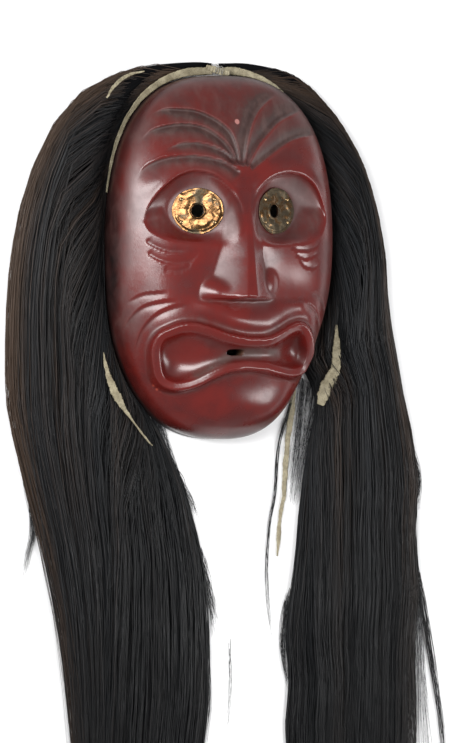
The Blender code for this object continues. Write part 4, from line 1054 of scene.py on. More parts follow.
def dents(side, x, y):
    """Height of the beaten sheet over its plane, at spots given in that plane."""
    rng = np.random.default_rng(DISC_SEED + side)
    angle, far = rng.uniform(0.0, 2 * math.pi, DENT_COUNT), np.sqrt(rng.uniform(0.0, 1.1, DENT_COUNT))
    middle_x, middle_y = DISC_HALF[0] * far * np.cos(angle), DISC_HALF[1] * far * np.sin(angle)
    lean_x, lean_y = rng.normal(0.0, DENT_LEAN[side], (2, DENT_COUNT))
    depth = rng.normal(0.0, DENT_DEPTH, DENT_COUNT)
    dx, dy = x[..., None] - middle_x, y[..., None] - middle_y
    gap = np.hypot(dx, dy)
    weight = np.exp(-(gap - gap.min(axis=-1, keepdims=True)) / DENT_SOFTNESS)
    height = (weight * (depth + lean_x * dx + lean_y * dy)).sum(axis=-1) / weight.sum(axis=-1)
    height = height + DISHED[side] * x * np.abs(x)
    share = np.hypot(x / DISC_HALF[0], y / DISC_HALF[1])
    low = smooth(0.5 - 0.9 * y / DISC_HALF[1])
    height = height - EDGE_BEND * smooth((share - EDGE_START) / EDGE_WIDTH) * (0.2 + 0.9 * low)
    from_lip = (np.hypot(x - PUPIL_SHIFT[side], y) - PUPIL_RADIUS) / PUPIL_LIP_WIDTH
    return np.maximum(height, DISC_CLEARANCE - DISC_LIFT) + PUPIL_LIP * np.exp(-from_lip ** 2)


# %% Beaten eye discs
DISC_RINGS, DISC_SECTORS, DISC_TRIM = 42, 168, 0.988
# How far the hand-cut edge swings, how often around the disc, and where it starts on each side.
EDGE_WAVES = ((0.010, 3, 1.1, 1.0), (0.007, 7, 0.0, 2.0), (0.004, 17, 0.7, 0.0))
UNDERSIDE_TARNISH = 0.9
# For each disc, how tarnished it is, and patches: middle, reach across and along, and change.
TARNISH = {
    -1: (0.16, ((0.0005, 0.0118, 0.0050, 0.0045, 0.75), (0.0120, 0.0075, 0.0045, 0.0040, 0.45),
                (0.0010, 0.0065, 0.0030, 0.0040, 0.55), (-0.0100, -0.0030, 0.0040, 0.0025, 0.35),
                (0.0000, -0.0150, 0.0160, 0.0024, 0.60))),
    1: (0.78, ((-0.0140, 0.0010, 0.0035, 0.0060, -0.48), (0.0055, 0.0045, 0.0050, 0.0030, -0.45),
               (0.0160, 0.0030, 0.0020, 0.0080, -0.40), (-0.0060, 0.0080, 0.0040, 0.0030, -0.30))),
}


def disc_outline(side, angle):
    """The hand-cut edge of a disc."""
    wobble = 1.0
    for size, times, phase, lead in EDGE_WAVES:
        wobble = wobble + size * np.sin(times * angle + phase + lead * side)
    wobble = wobble * DISC_TRIM
    return DISC_HALF[0] * np.cos(angle) * wobble, DISC_HALF[1] * np.sin(angle) * wobble


def eye_disc(side, word):
    """A closed sheet from the sight hole to the edge, with its tarnish stored on it."""
    shift = PUPIL_SHIFT[side]
    turns = 2 * math.pi * np.arange(DISC_SECTORS) / DISC_SECTORS
    share, angle = np.meshgrid(np.linspace(0.0, 1.0, DISC_RINGS), turns, indexing="ij")
    edge_x, edge_y = disc_outline(side, angle)
    hole_x, hole_y = shift + PUPIL_RADIUS * np.cos(angle), PUPIL_RADIUS * np.sin(angle)
    x, y = hole_x + (edge_x - hole_x) * share, hole_y + (edge_y - hole_y) * share
    under = DISC_LIFT + dents(side, x, y)
    sheets = [np.stack([x, y, z], axis=-1).reshape(-1, 3) for z in (under + DISC_THICKNESS, under)]
    i, j = np.meshgrid(np.arange(DISC_RINGS - 1), np.arange(DISC_SECTORS), indexing="ij")
    here, beyond = i * DISC_SECTORS + j, i * DISC_SECTORS + (j + 1) % DISC_SECTORS
    upper = np.stack([here, here + DISC_SECTORS, beyond + DISC_SECTORS, beyond], axis=-1).reshape(-1, 4)
    total = DISC_RINGS * DISC_SECTORS
    faces = upper.tolist() + (upper[:, ::-1] + total).tolist()
    for first in (0, total - DISC_SECTORS):
        ring = [first + k for k in range(DISC_SECTORS)]
        faces += [(ring[k - 1], ring[k], ring[k] + total, ring[k - 1] + total) for k in range(DISC_SECTORS)]
    disc = mesh_piece(f"beaten_disc_{word}", np.vstack(sheets), faces, SHEET_METAL)
    turn_outward(disc, disc_matrix(side))
    base, patches = TARNISH[side]
    tarnish = np.full(x.shape, base)
    for px, py, across, along, amount in patches:
        tarnish = tarnish + amount * np.exp(-((x - px) / across) ** 2 - ((y - py) / along) ** 2)
    store(disc.data, "tarnish", np.concatenate([tarnish.reshape(-1), np.full(total, UNDERSIDE_TARNISH)]))
    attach(disc, "root")
    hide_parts(f"eye_disc_{word}")
    print(disc.name, "triangles:", triangle_count(disc))


for side, word in SIDES:
    eye_disc(side, word)

# %% [markdown]
# Four tacks hold each disc. They repeat, so one head is drawn and Geometry Nodes set a copy on
# every spot, squared to the sheet and turned at random. The instances are made real at the end,
# because the export keeps only real meshes.

# %% One tack head
TACK_ANGLES, TACK_RING = (38.0, 142.0, 218.0, 322.0), 0.80
# Radius and height of each ring, from the brim to the top.
TACK_PROFILE = ((0.00140, -0.00010), (0.00142, 0.00008), (0.00126, 0.00024),
                (0.00104, 0.00050), (0.00070, 0.00074), (0.00032, 0.00086))
TACK_SIDES, TACK_TOP = 18, 0.0009


def tack_head():
    """A small domed head with a thin brim, a little out of round."""
    mesh = bmesh.new()
    rings = []
    turns = 2 * math.pi * np.arange(TACK_SIDES) / TACK_SIDES
    for radius, height in TACK_PROFILE:
        uneven_radius = radius * (1.0 + 0.05 * np.sin(2 * turns + 0.4) + 0.03 * np.sin(5 * turns))
        rings.append([mesh.verts.new((r * math.cos(t), r * math.sin(t), height))
                      for r, t in zip(uneven_radius, turns)])
    for low, high in zip(rings[:-1], rings[1:]):
        for k in range(TACK_SIDES):
            mesh.faces.new((low[k - 1], low[k], high[k], high[k - 1]))
    top = mesh.verts.new((0.0, 0.0, TACK_TOP))
    for k in range(TACK_SIDES):
        mesh.faces.new((rings[-1][k - 1], rings[-1][k], top))
    mesh.faces.new(list(reversed(rings[0])))
    data = bpy.data.meshes.new("tack head")
    mesh.to_mesh(data)
    mesh.free()
    return add_object("tack head", data)


# %% Geometry Nodes: set the tacks
def new_tree(name, inputs, output):
    """An empty tree with named inputs and one geometry output, and its two end nodes."""
    tree = bpy.data.node_groups.new(name, "GeometryNodeTree")
    for label, kind, value in inputs:
        socket = tree.interface.new_socket(label, in_out="INPUT", socket_type=f"NodeSocket{kind}")
        if value is not None:
            socket.default_value = value
    tree.interface.new_socket(output, in_out="OUTPUT", socket_type="NodeSocketGeometry")
    return tree, tree.nodes.new("NodeGroupInput"), tree.nodes.new("NodeGroupOutput")


def set_tacks_tree():
    """Copies of a head on spots, squared to the facing and spun at random."""
    tree, start, end = new_tree("set tacks", (
        ("Spots", "Geometry", None), ("Head", "Object", None), ("Size", "Float", 1.0),
        ("Size Spread", "Float", 0.08), ("Seed", "Int", 3), ("Finish", "Material", None)), "Tacks")
    nodes, link = tree.nodes, tree.links.new
    info = nodes.new("GeometryNodeObjectInfo")
    facing = nodes.new("GeometryNodeInputNamedAttribute")
    facing.data_type = "FLOAT_VECTOR"
    facing.inputs["Name"].default_value = "facing"
    square = nodes.new("FunctionNodeAlignRotationToVector")
    square.axis = "Z"
    turn = nodes.new("FunctionNodeRandomValue")
    turn.data_type = "FLOAT"
    turn.inputs[3].default_value = 2 * math.pi
    spin = nodes.new("FunctionNodeAxisAngleToRotation")
    spin.inputs["Axis"].default_value = (0.0, 0.0, 1.0)
    both = nodes.new("FunctionNodeRotateRotation")
    both.rotation_space = "LOCAL"
    less, more = nodes.new("ShaderNodeMath"), nodes.new("ShaderNodeMath")
    less.operation, more.operation = "SUBTRACT", "ADD"
    size = nodes.new("FunctionNodeRandomValue")
    size.data_type = "FLOAT"
    copies = nodes.new("GeometryNodeInstanceOnPoints")
    realize = nodes.new("GeometryNodeRealizeInstances")
    soft = nodes.new("GeometryNodeSetShadeSmooth")
    paint = nodes.new("GeometryNodeSetMaterial")
    link(start.outputs["Spots"], copies.inputs["Points"])
    link(start.outputs["Head"], info.inputs["Object"])
    link(info.outputs["Geometry"], copies.inputs["Instance"])
    link(facing.outputs["Attribute"], square.inputs["Vector"])
    link(start.outputs["Seed"], turn.inputs["Seed"])
    link(turn.outputs[1], spin.inputs["Angle"])
    link(square.outputs["Rotation"], both.inputs["Rotation"])
    link(spin.outputs["Rotation"], both.inputs["Rotate By"])
    link(both.outputs["Rotation"], copies.inputs["Rotation"])
    for node in (less, more):
        link(start.outputs["Size"], node.inputs[0])
        link(start.outputs["Size Spread"], node.inputs[1])
    link(less.outputs[0], size.inputs[2])
    link(more.outputs[0], size.inputs[3])
    link(start.outputs["Seed"], size.inputs["Seed"])
    link(size.outputs[1], copies.inputs["Scale"])
    link(copies.outputs["Instances"], realize.inputs["Geometry"])
    link(realize.outputs["Geometry"], soft.inputs["Geometry"])
    link(soft.outputs["Geometry"], paint.inputs["Geometry"])
    link(start.outputs["Finish"], paint.inputs["Material"])
    link(paint.outputs["Geometry"], end.inputs["Tacks"])
    return tree


def with_tree(obj, tree, **values):
    """Run a node tree on an object with named inputs, and keep the plain mesh that comes out."""
    modifier = obj.modifiers.new(tree.name, "NODES")
    modifier.node_group = tree
    by_name = {item.name: item.identifier for item in tree.interface.items_tree
               if item.item_type == "SOCKET" and item.in_out == "INPUT"}
    for name, value in values.items():
        modifier[by_name[name.replace("_", " ")]] = value
    return applied(obj)


# %% Tacks on both discs
def tacks():
    """All eight tacks as one piece."""
    head = tack_head()
    spots, facing = [], []
    for side, _ in SIDES:
        plane = disc_matrix(side)
        for degrees in TACK_ANGLES:
            a = math.radians(degrees)
            x, y = DISC_HALF[0] * TACK_RING * math.cos(a) * side, DISC_HALF[1] * TACK_RING * math.sin(a)
            top = DISC_LIFT + DISC_THICKNESS + float(dents(side, np.array([x]), np.array([y]))[0])
            spots.append(plane @ Vector((x, y, top)))
            facing.append(plane.to_3x3() @ Vector((0.0, 0.0, 1.0)))
    data = bpy.data.meshes.new("tacks")
    data.from_pydata([tuple(p) for p in spots], [], [])
    layer = data.attributes.new("facing", "FLOAT_VECTOR", "POINT")
    layer.data.foreach_set("vector", np.array(facing, dtype=np.float32).reshape(-1))
    piece = add_object("tacks", data)
    with_tree(piece, set_tacks_tree(), Head=head, Finish=TACK_METAL)
    bpy.data.objects.remove(head, do_unlink=True)
    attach(piece, "root")
    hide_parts(*[f"tack_{word}_{n}" for word in ("left", "right") for n in (1, 2, 3, 4)])
    print("tacks:", len(spots), "triangles:", triangle_count(piece))


tacks()

# %% [markdown]
# ## Rawhide strips
#
# A strip of the tail's skin is nailed along the rim on each side, and its cut ends hang free. A
# strip is a flat band between two drawn edges. Its edges are never straight, so both wander by a
# few smooth waves, and they curl up a little as dry skin does. The hair is made later, and lies
# flat under every strip, so each strip also notes where it presses.


# %% Beside the rim
def rim_offset(degrees_from_top, side, distance):
    """A point beside the rim, by its angle from the brow toward one side."""
    angle = math.pi / 2 - side * math.radians(degrees_from_top)
    ahead, behind = np.array(rim(angle + 0.002)), np.array(rim(angle - 0.002))
    tangent = (ahead - behind) / np.linalg.norm(ahead - behind)
    return np.array(rim(angle)) + np.array([tangent[1], -tangent[0]]) * distance


# %% A strip of hide
HIDE_COLUMNS, HIDE_STATIONS, HIDE_THICKNESS = 7, 140, 0.0012
EDGE_FALL, EDGE_THINNING, TOP_WANDER = 0.0003, 0.55, 0.00025
PRESSES = []


def uneven(share, rng, waves, size):
    """A smooth random wander along a piece."""
    total = sum(np.sin(2 * math.pi * (wave * share + rng.random())) for wave in waves)
    return size * total / math.sqrt(len(waves))


def hide_strip(name, left, right, top, seed, fray, curl, ease, presses=True):
    """A closed band of hide between two drawn edges, at a given height of its upper side."""
    rng = np.random.default_rng(seed)
    count, share = len(left), np.linspace(0.0, 1.0, len(left))
    span = right - left
    left = left - span * uneven(share, rng, (7, 13, 29, 53), fray)[:, None]
    right = right + span * uneven(share, rng, (6, 15, 31, 47), fray)[:, None]
    across = np.linspace(0.0, 1.0, HIDE_COLUMNS)
    u = 2.0 * across - 1.0
    spot = left[:, None] + (right - left)[:, None] * across[None, :, None]
    lifted = [np.abs(uneven(share, rng, waves, curl)) for waves in ((2, 5), (3, 7))]
    bent = lifted[0][:, None] * np.maximum(-u, 0.0) ** 2 + lifted[1][:, None] * np.maximum(u, 0.0) ** 2
    wander = uneven(share, rng, (3, 8), TOP_WANDER)[:, None]
    upper = top[:, None] + wander + bent - EDGE_FALL * np.abs(u) ** 3
    lower = upper - HIDE_THICKNESS * (1.0 - EDGE_THINNING * u ** 4)
    rows = [np.concatenate([spot, z[..., None]], axis=-1) for z in (upper, lower)]
    loop = np.concatenate([rows[0], rows[1][:, ::-1]], axis=1)
    size = 2 * HIDE_COLUMNS
    faces = [(n * size + k, n * size + (k + 1) % size, (n + 1) * size + (k + 1) % size, (n + 1) * size + k)
             for n in range(count - 1) for k in range(size)]
    faces += [tuple(range(size)), tuple(range(count * size - 1, (count - 1) * size - 1, -1))]
    piece = mesh_piece(name, loop.reshape(-1, 3) + FACE_PLACE, faces, RAWHIDE)
    turn_outward(piece)
    if presses:
        half = np.hypot(*(right - left).T) / 2
        PRESSES.append(((left + right) / 2, share, half, top - HIDE_THICKNESS, ease))
    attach(piece, "root")
    return piece


# %% Strips along the rim
STRIP_GAP, STRIP_TOP, STRIP_SEED = 0.0010, 0.0056, 20
STRIP_WIDTHS, STRIP_WIDTH_STOPS = (0.0050, 0.0058, 0.0036, 0.0012), (0.0, 0.2, 0.6, 1.0)
STRIP_ANGLES = {-1: (2.5, 70.0), 1: (2.5, 33.0)}
STRIP_EDGES = dict(fray=0.035, curl=0.0007, ease=0.009)
for side, word in SIDES:
    share = np.linspace(0.0, 1.0, HIDE_STATIONS)
    degrees = STRIP_ANGLES[side][0] + (STRIP_ANGLES[side][1] - STRIP_ANGLES[side][0]) * share
    width = np.interp(share, STRIP_WIDTH_STOPS, STRIP_WIDTHS)
    inner = np.array([rim_offset(d, side, STRIP_GAP) for d in degrees])
    outer = np.array([rim_offset(d, side, STRIP_GAP + w) for d, w in zip(degrees, width)])
    top = np.full(HIDE_STATIONS, STRIP_TOP)
    strip = hide_strip(f"rim_hide_{word}", inner, outer, top, STRIP_SEED + side, **STRIP_EDGES)
    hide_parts(f"hide_strip_{word}")

# %% [markdown]
# The loose pieces are drawn as a middle line with a half width at a few places. Each lies at the
# height of the plain strip it stands for, so it rests on the same hair.

# %% Loose ends, crossing and thong
LOOSE_HIDES = (
    dict(node="hide_crossing", lift=0.0006, fray=0.05, over_hair=False,
         points=((-9.5, 136.6), (-3.0, 134.4), (3.5, 132.6), (8.0, 132.0)),
         half_widths=(0.0013, 0.0023, 0.0024, 0.0016)),
    dict(node="hide_thong", lift=0.0012, fray=0.06, over_hair=True,
         points=((-90.5, 113.5), (-84.6, 121.5), (-72.3, 129.6), (-59.9, 132.8)),
         half_widths=(0.0005, 0.0011, 0.0013, 0.0010, 0.0004)),
    dict(node="hide_end_left", lift=0.0012, fray=0.07, over_hair=True,
         points=((-91.0, -68.0), (-89.6, -80.0), (-84.6, -95.5), (-76.0, -109.5), (-66.5, -121.0),
                 (-53.5, -134.5)),
         half_widths=(0.0003, 0.0012, 0.0020, 0.0028, 0.0030, 0.0015, 0.0007, 0.0006, 0.0007, 0.0004)),
    dict(node="hide_end_right", lift=0.0012, fray=0.045, over_hair=True,
         points=((88.5, -48.0), (88.6, -64.0), (87.4, -78.0), (84.0, -88.0), (80.6, -97.0),
                 (77.5, -105.5)),
         half_widths=(0.0006, 0.0016, 0.0026, 0.0034, 0.0034, 0.0044, 0.0050, 0.0046, 0.0026)),
    dict(node="hide_strip_long", lift=0.0, fray=0.05, over_hair=False,
         points=((61.5, -94.0), (58.8, -114.0), (56.6, -130.0), (55.0, -146.0), (53.6, -169.0),
                 (50.8, -184.0), (49.2, -204.0), (48.2, -214.0)),
         half_widths=(0.0012, 0.0022, 0.0022, 0.0018, 0.0020, 0.0018, 0.0014, 0.0012, 0.0016, 0.0004)),
)
LOOSE_SEED, LOOSE_CURL, LOOSE_EASE, LOOSE_SMOOTHING, ABOVE_ALL = 50, 0.0005, 0.004, 30, 0.3


def plain_tops(node, middle):
    """Height of a plain strip's upper side under each point of a line."""
    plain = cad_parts[node].data
    tree = BVHTree.FromPolygons([v.co for v in plain.vertices], [p.vertices for p in plain.polygons])
    starts = [Vector((x + FACE_PLACE[0], y + FACE_PLACE[1], ABOVE_ALL)) for x, y in middle]
    hits = [tree.ray_cast(start, Vector((0.0, 0.0, -1.0)))[0] for start in starts]
    known = [k for k, hit in enumerate(hits) if hit is not None]
    return np.interp(np.arange(len(hits)), known, [hits[k].z for k in known])


def loose_hide(spec, seed):
    """One loose piece at the height of the plain strip that it stands for."""
    share = np.linspace(0.0, 1.0, HIDE_STATIONS)
    middle = at_fraction(flowing(placed(spec["points"])), share)
    tangent = np.gradient(middle, axis=0)
    tangent /= np.hypot(*tangent.T)[:, None]
    normal = np.stack([-tangent[:, 1], tangent[:, 0]], axis=1)
    widths = spec["half_widths"]
    aside = normal * np.interp(share, np.linspace(0.0, 1.0, len(widths)), widths)[:, None]
    top = plain_tops(spec["node"], middle) + spec["lift"]
    for _ in range(LOOSE_SMOOTHING):
        top[1:-1] = (top[:-2] + top[1:-1] + top[2:]) / 3
    piece = hide_strip(spec["node"].replace("hide_", "rawhide_"), middle - aside, middle + aside, top,
                       seed, spec["fray"], LOOSE_CURL, LOOSE_EASE, spec["over_hair"])
    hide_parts(spec["node"])
    return piece


loose = [loose_hide(spec, LOOSE_SEED + n) for n, spec in enumerate(LOOSE_HIDES)]
print("hide triangles:", sum(triangle_count(piece) for piece in loose))

# %% [markdown]
# ## Horsehair
#
# On the real mask the skin of two tails is nailed around the rim, and the hair falls from it on
# both sides in heavy, slightly wavy locks. Particles would be lost on export, so each strand is a
# real tube. Strands are drawn as polylines that flow from the rim outward and then down, gathered
# in locks. A Geometry Nodes tree then gives every line its thickness.

# %% The paths that bound each mass of hair
HAIR_GAP = 0.0009
HAIR_RIM_ANGLES = (3.0, 16.0, 30.0, 44.0, 58.0, 73.0, 88.0, 102.0, 114.0)
HAIR_JAW_ANGLES = {-1: (124.0, 134.0, 145.0), 1: (123.0,)}
HAIR_TIP_Y = -452.0
HAIR_INNER_LEFT = (
    (-37.8, -137.0), (-24.5, -165.0), (-16.5, -193.0), (-10.0, -222.0), (-7.0, -252.0), (-5.4, -284.0),
    (-5.4, -321.0), (-8.4, -347.0), (-18.0, HAIR_TIP_Y),
)
HAIR_OUTER_LEFT = (
    (-3.0, 139.5), (-16.9, 140.4), (-50.0, 138.0), (-74.1, 132.1), (-100.3, 119.9), (-118.9, 102.7),
    (-130.5, 84.1), (-139.0, 66.9), (-145.9, 49.8), (-151.3, 29.7), (-156.0, 4.7), (-159.1, -21.8),
    (-160.4, -52.6), (-160.6, -76.3), (-159.8, -102.0), (-155.5, -125.7), (-148.0, -153.6),
    (-140.5, -180.0), (-133.5, -203.7), (-127.4, -232.3), (-122.7, -251.0), (-119.0, -275.0),
    (-114.5, -306.0), (-110.0, -347.6), (-96.0, HAIR_TIP_Y),
)
HAIR_INNER_RIGHT = (
    (77.0, -94.0), (78.0, -107.0), (73.0, -130.0), (69.6, -150.0), (65.7, -178.0), (62.5, -212.0),
    (59.0, -240.0), (56.0, -262.0), (55.6, -284.0), (57.5, -300.0), (56.2, -322.0), (55.5, -348.0),
    (66.0, HAIR_TIP_Y),
)
HAIR_OUTER_RIGHT = (
    (3.0, 139.5), (27.1, 139.3), (58.0, 132.1), (80.0, 115.6), (95.8, 97.0), (109.7, 74.8),
    (119.8, 49.8), (125.9, 26.9), (130.6, 1.8), (132.2, -23.3), (134.4, -44.8), (139.8, -72.7),
    (145.2, -102.0), (150.7, -124.0), (155.5, -153.6), (155.5, -170.0), (153.5, -190.0), (155.0, -215.0),
    (156.5, -240.0), (154.0, -268.0), (153.0, -290.0), (154.5, -347.6), (146.0, HAIR_TIP_Y),
)
HAIR_PATHS = {-1: (HAIR_INNER_LEFT, HAIR_OUTER_LEFT), 1: (HAIR_INNER_RIGHT, HAIR_OUTER_RIGHT)}
PATH_SAMPLES = np.linspace(0.0, 1.0, 401)
HAIR_RIM_SHARE = 0.44
HAIR_EDGE_HEIGHT, HAIR_MIDDLE_HEIGHT, HAIR_TIP_HEIGHT, HAIR_ROOT_HEIGHT = 0.0040, 0.0200, 0.0030, 0.0030
HAIR_ARCH, FULL_WIDTH, TIP_SHARE = 0.6, 0.040, 0.35


def hair_bounds(side):
    """The inner and outer paths of one mass, sampled evenly from root to tip."""
    inner, outer = HAIR_PATHS[side]
    roots = [rim_offset(degrees, side, HAIR_GAP) for degrees in HAIR_RIM_ANGLES + HAIR_JAW_ANGLES[side]]
    paths = np.vstack([roots, placed(inner)]), placed(outer)
    return [at_fraction(flowing(path), PATH_SAMPLES) for path in paths]


def on_hair(bounds, s, c):
    """A spot in the mass: s runs from root to tip and c from the inner to the outer side."""
    inner, outer = (np.stack([np.interp(s, PATH_SAMPLES, path[:, k]) for k in (0, 1)], axis=-1)
                    for path in bounds)
    width = np.hypot(*(outer - inner).T).T
    return inner + (outer - inner) * c[..., None], width


def hair_height(s, c, width):
    """Height of the mass's upper surface."""
    arch = np.sin(math.pi * np.clip(c, 0.0, 1.0)) ** HAIR_ARCH
    full = np.minimum(width / FULL_WIDTH, 1.0)
    body = HAIR_EDGE_HEIGHT + (HAIR_MIDDLE_HEIGHT - HAIR_EDGE_HEIGHT) * arch * full
    return HAIR_TIP_HEIGHT + (body - HAIR_TIP_HEIGHT) * smooth((1.0 - s) / TIP_SHARE)


# %% [markdown]
# A strand starts at the rim, at some share of the way from brow to jaw. Those that start near the
# brow end up on the outside, so the mass fans out without crossing itself. On the left the hair
# lies in two layers: the long outer locks fall straight, and from under them the hair of the jaw
# fans toward the middle. Each strand belongs to a lock and is drawn in to it toward the tip.

# %% Strands gathered in locks
STRAND_STEPS, HAIR_SEED = 21, 11
STRAND_FLOOR, STRAND_RADIUS = 0.0006, (0.00016, 0.00030)
# How many strands and locks each side has, and the share of them in the outer layer.
STRAND_COUNT, LOCK_COUNT, OUTER_SHARE = {-1: 2700, 1: 2300}, {-1: 52, 1: 42}, {-1: 0.56, 1: 0.84}
# The inner side of the outer layer, as a share of the way across, at stops from root to tip.
LAYER_STOPS = (0.0, 0.30, 0.36, 0.40, 0.44, 0.48, 0.53, 0.58, 0.69, 0.76, 0.84, 1.0)
LAYER_EDGES = {
    -1: (0.0, 0.0, 0.05, 0.10, 0.17, 0.28, 0.38, 0.46, 0.58, 0.64, 0.68, 0.70),
    1: (0.0, 0.0, 0.0, 0.0, 0.0, 0.02, 0.05, 0.08, 0.14, 0.18, 0.20, 0.22),
}
# Shares of strands that leave their lock, end early, bend wildly, flick out and stand off the edge.
LOOSE, SHORT, WILD, FLICKED, STRAY = 0.10, 0.22, 0.09, 0.16, 0.22
# How far across the mass a strand sways with its lock, waves alone, drifts, bends and flicks.
SWAY, OWN_WAVE, DRIFT, WILD_BEND, FLICK = 0.005, 0.0060, 0.032, 0.034, 0.030


def banded(rng, place, bands):
    """A smooth random number that changes across the mass."""
    return np.interp(np.clip(place, 0.0, 1.0) * bands, np.arange(bands + 1), rng.random(bands + 1))


def waving(rng, t, count, slow, fast):
    """A sine wave along each strand, at its own pace and phase."""
    pace, phase = rng.uniform(slow, fast, (count, 1)), rng.uniform(0.0, 6.3, (count, 1))
    return np.sin(2 * math.pi * pace * t + phase)


def pressed(x, y, z):
    """Hold hair down where a strip of hide lies on it."""
    for middle, share, half, under, ease in PRESSES:
        gap, _, along = line_measures(x, y, middle[::4])
        ceiling = np.maximum(np.interp(along, share, under) - 0.0006, 0.0008)
        cover = 1.0 - smooth((gap - np.interp(along, share, half) - 0.0006) / ease)
        z = z + (np.minimum(z, ceiling) - z) * cover
    return z


def strands(side):
    """Points, radii and colour numbers of one mass of hair, as arrays of strand by step."""
    rng = np.random.default_rng(HAIR_SEED + side)
    count, locks = STRAND_COUNT[side], LOCK_COUNT[side]
    inner = rng.random(count) > OUTER_SHARE[side]
    lock_middle = (np.arange(locks) + rng.uniform(0.15, 0.85, locks)) / locks
    lock_phase, lock_wave = rng.uniform(0.0, 2 * math.pi, locks), rng.uniform(0.7, 1.5, locks)
    lock_layer, lock_end = rng.uniform(0.55, 1.0, locks), rng.uniform(0.82, 1.0, locks)
    which = rng.integers(0, locks, count)
    loose = rng.random(count) < LOOSE
    lane = lock_middle[which] + rng.normal(0.0, 0.42 / locks, count) + loose * rng.normal(0.0, 0.03, count)
    lane = np.clip(lane, 0.0, 1.0)
    start = np.where(inner, 1.0 - 0.50 * lane, (1.0 - lane) * 0.90)
    s0 = np.clip(start + rng.normal(0.0, 0.008, count), 0.0, 1.0) * (HAIR_RIM_SHARE - 0.01)
    end = np.clip(lock_end[which] + rng.normal(0.0, 0.035, count), 0.3, 1.0)
    end = np.where(rng.random(count) < SHORT, end * rng.uniform(0.55, 0.98, count), end)
    t = np.linspace(0.0, 1.0, STRAND_STEPS)[None, :] ** 0.95
    s = s0[:, None] + (end - s0)[:, None] * t
    fall = smooth(t / np.where(inner, 0.46, 0.44 - 0.33 * lane)[:, None])
    edge = np.interp(s, LAYER_STOPS, LAYER_EDGES[side])
    drawn_in = lane[:, None] + (lock_middle[which] - lane)[:, None] * 0.45 * smooth(t) * ~loose[:, None]
    below, above = np.minimum(edge + 0.10, 1.0) * drawn_in, edge + (1.0 - edge) * drawn_in
    c = np.where(inner[:, None], below, above) * fall
    phase = 2 * math.pi * lock_wave[which][:, None] * t * 1.6 + lock_phase[which][:, None]
    sway = SWAY * np.sin(phase) * fall
    own = OWN_WAVE * waving(rng, t, count, 1.0, 4.0) * fall
    drift = rng.normal(0.0, DRIFT, (count, 1)) * smooth((t - 0.15) / 0.85)
    wild = (rng.random(count) < WILD)[:, None] * WILD_BEND
    c = c + sway + own + drift + wild * waving(rng, t, count, 0.4, 1.4) * fall
    flicked = (rng.random(count) < FLICKED)[:, None] * rng.uniform(0.3, 1.0, (count, 1))
    c = c + flicked * FLICK * smooth((t - 0.80) / 0.20) * np.sign(c[:, -1:] - 0.5)
    most = np.where(rng.random(count) < STRAY, 0.040, 0.010)[:, None] * rng.uniform(0.2, 1.0, (count, 1))
    c = np.clip(c, -most, 1.0 + most)
    spot, width = on_hair(hair_bounds(side), s, c)
    layer = lock_layer[which] * np.where(inner, 0.66, 1.0) + rng.normal(0.0, 0.13, count)
    lift = smooth(t / 0.12)
    over_floor = (hair_height(s, c, width) - STRAND_FLOOR) * np.clip(layer, 0.2, 1.08)[:, None]
    at_root = HAIR_ROOT_HEIGHT * (1.0 - lift) * rng.uniform(0.5, 1.0, (count, 1))
    z = at_root + (STRAND_FLOOR + over_floor) * lift
    z = z + 0.0006 * waving(rng, t, count, 1.0, 2.5) * lift
    z = pressed(spot[..., 0], spot[..., 1], z)
    points = np.concatenate([spot, np.maximum(z, 0.0005)[..., None]], axis=-1) + FACE_PLACE
    thick = rng.uniform(*STRAND_RADIUS, (count, 1)) * (1.0 - 0.75 * smooth((t - 0.55) / 0.45))
    # How much painted sheen each strand shows: in random bands across the mass, less on the inner layer,
    # toward the tips and on the right.
    light = 0.68 * banded(rng, lane, 26) + 0.30 * banded(rng, lane, 80)
    light = np.where(inner, 0.65 * light, light) + rng.normal(0.0, 0.14, count)
    # The outermost strands of the outer layer are made browner and lighter: painted light on that edge.
    lit_outermost = smooth((lane - 0.74) / 0.22) * ~inner
    brown = 0.85 * banded(rng, lane, 14) ** 1.6 + 0.85 * lit_outermost + rng.normal(0.0, 0.12, count)
    light = np.clip(light + 0.38 * lit_outermost, 0.0, 1.0)
    light = light[:, None] * (1.0 - 0.45 * smooth((s - 0.42) / 0.30)) * (1.0 if side < 0 else 0.85)
    return points, thick, light, np.clip(brown, 0.0, 1.0)[:, None] + 0.0 * t


# %% [markdown]
# The tree that thickens the lines is short: the drawn edges become curves, each point's radius
# comes from a stored number, and a three-sided profile is swept along them with closed ends.


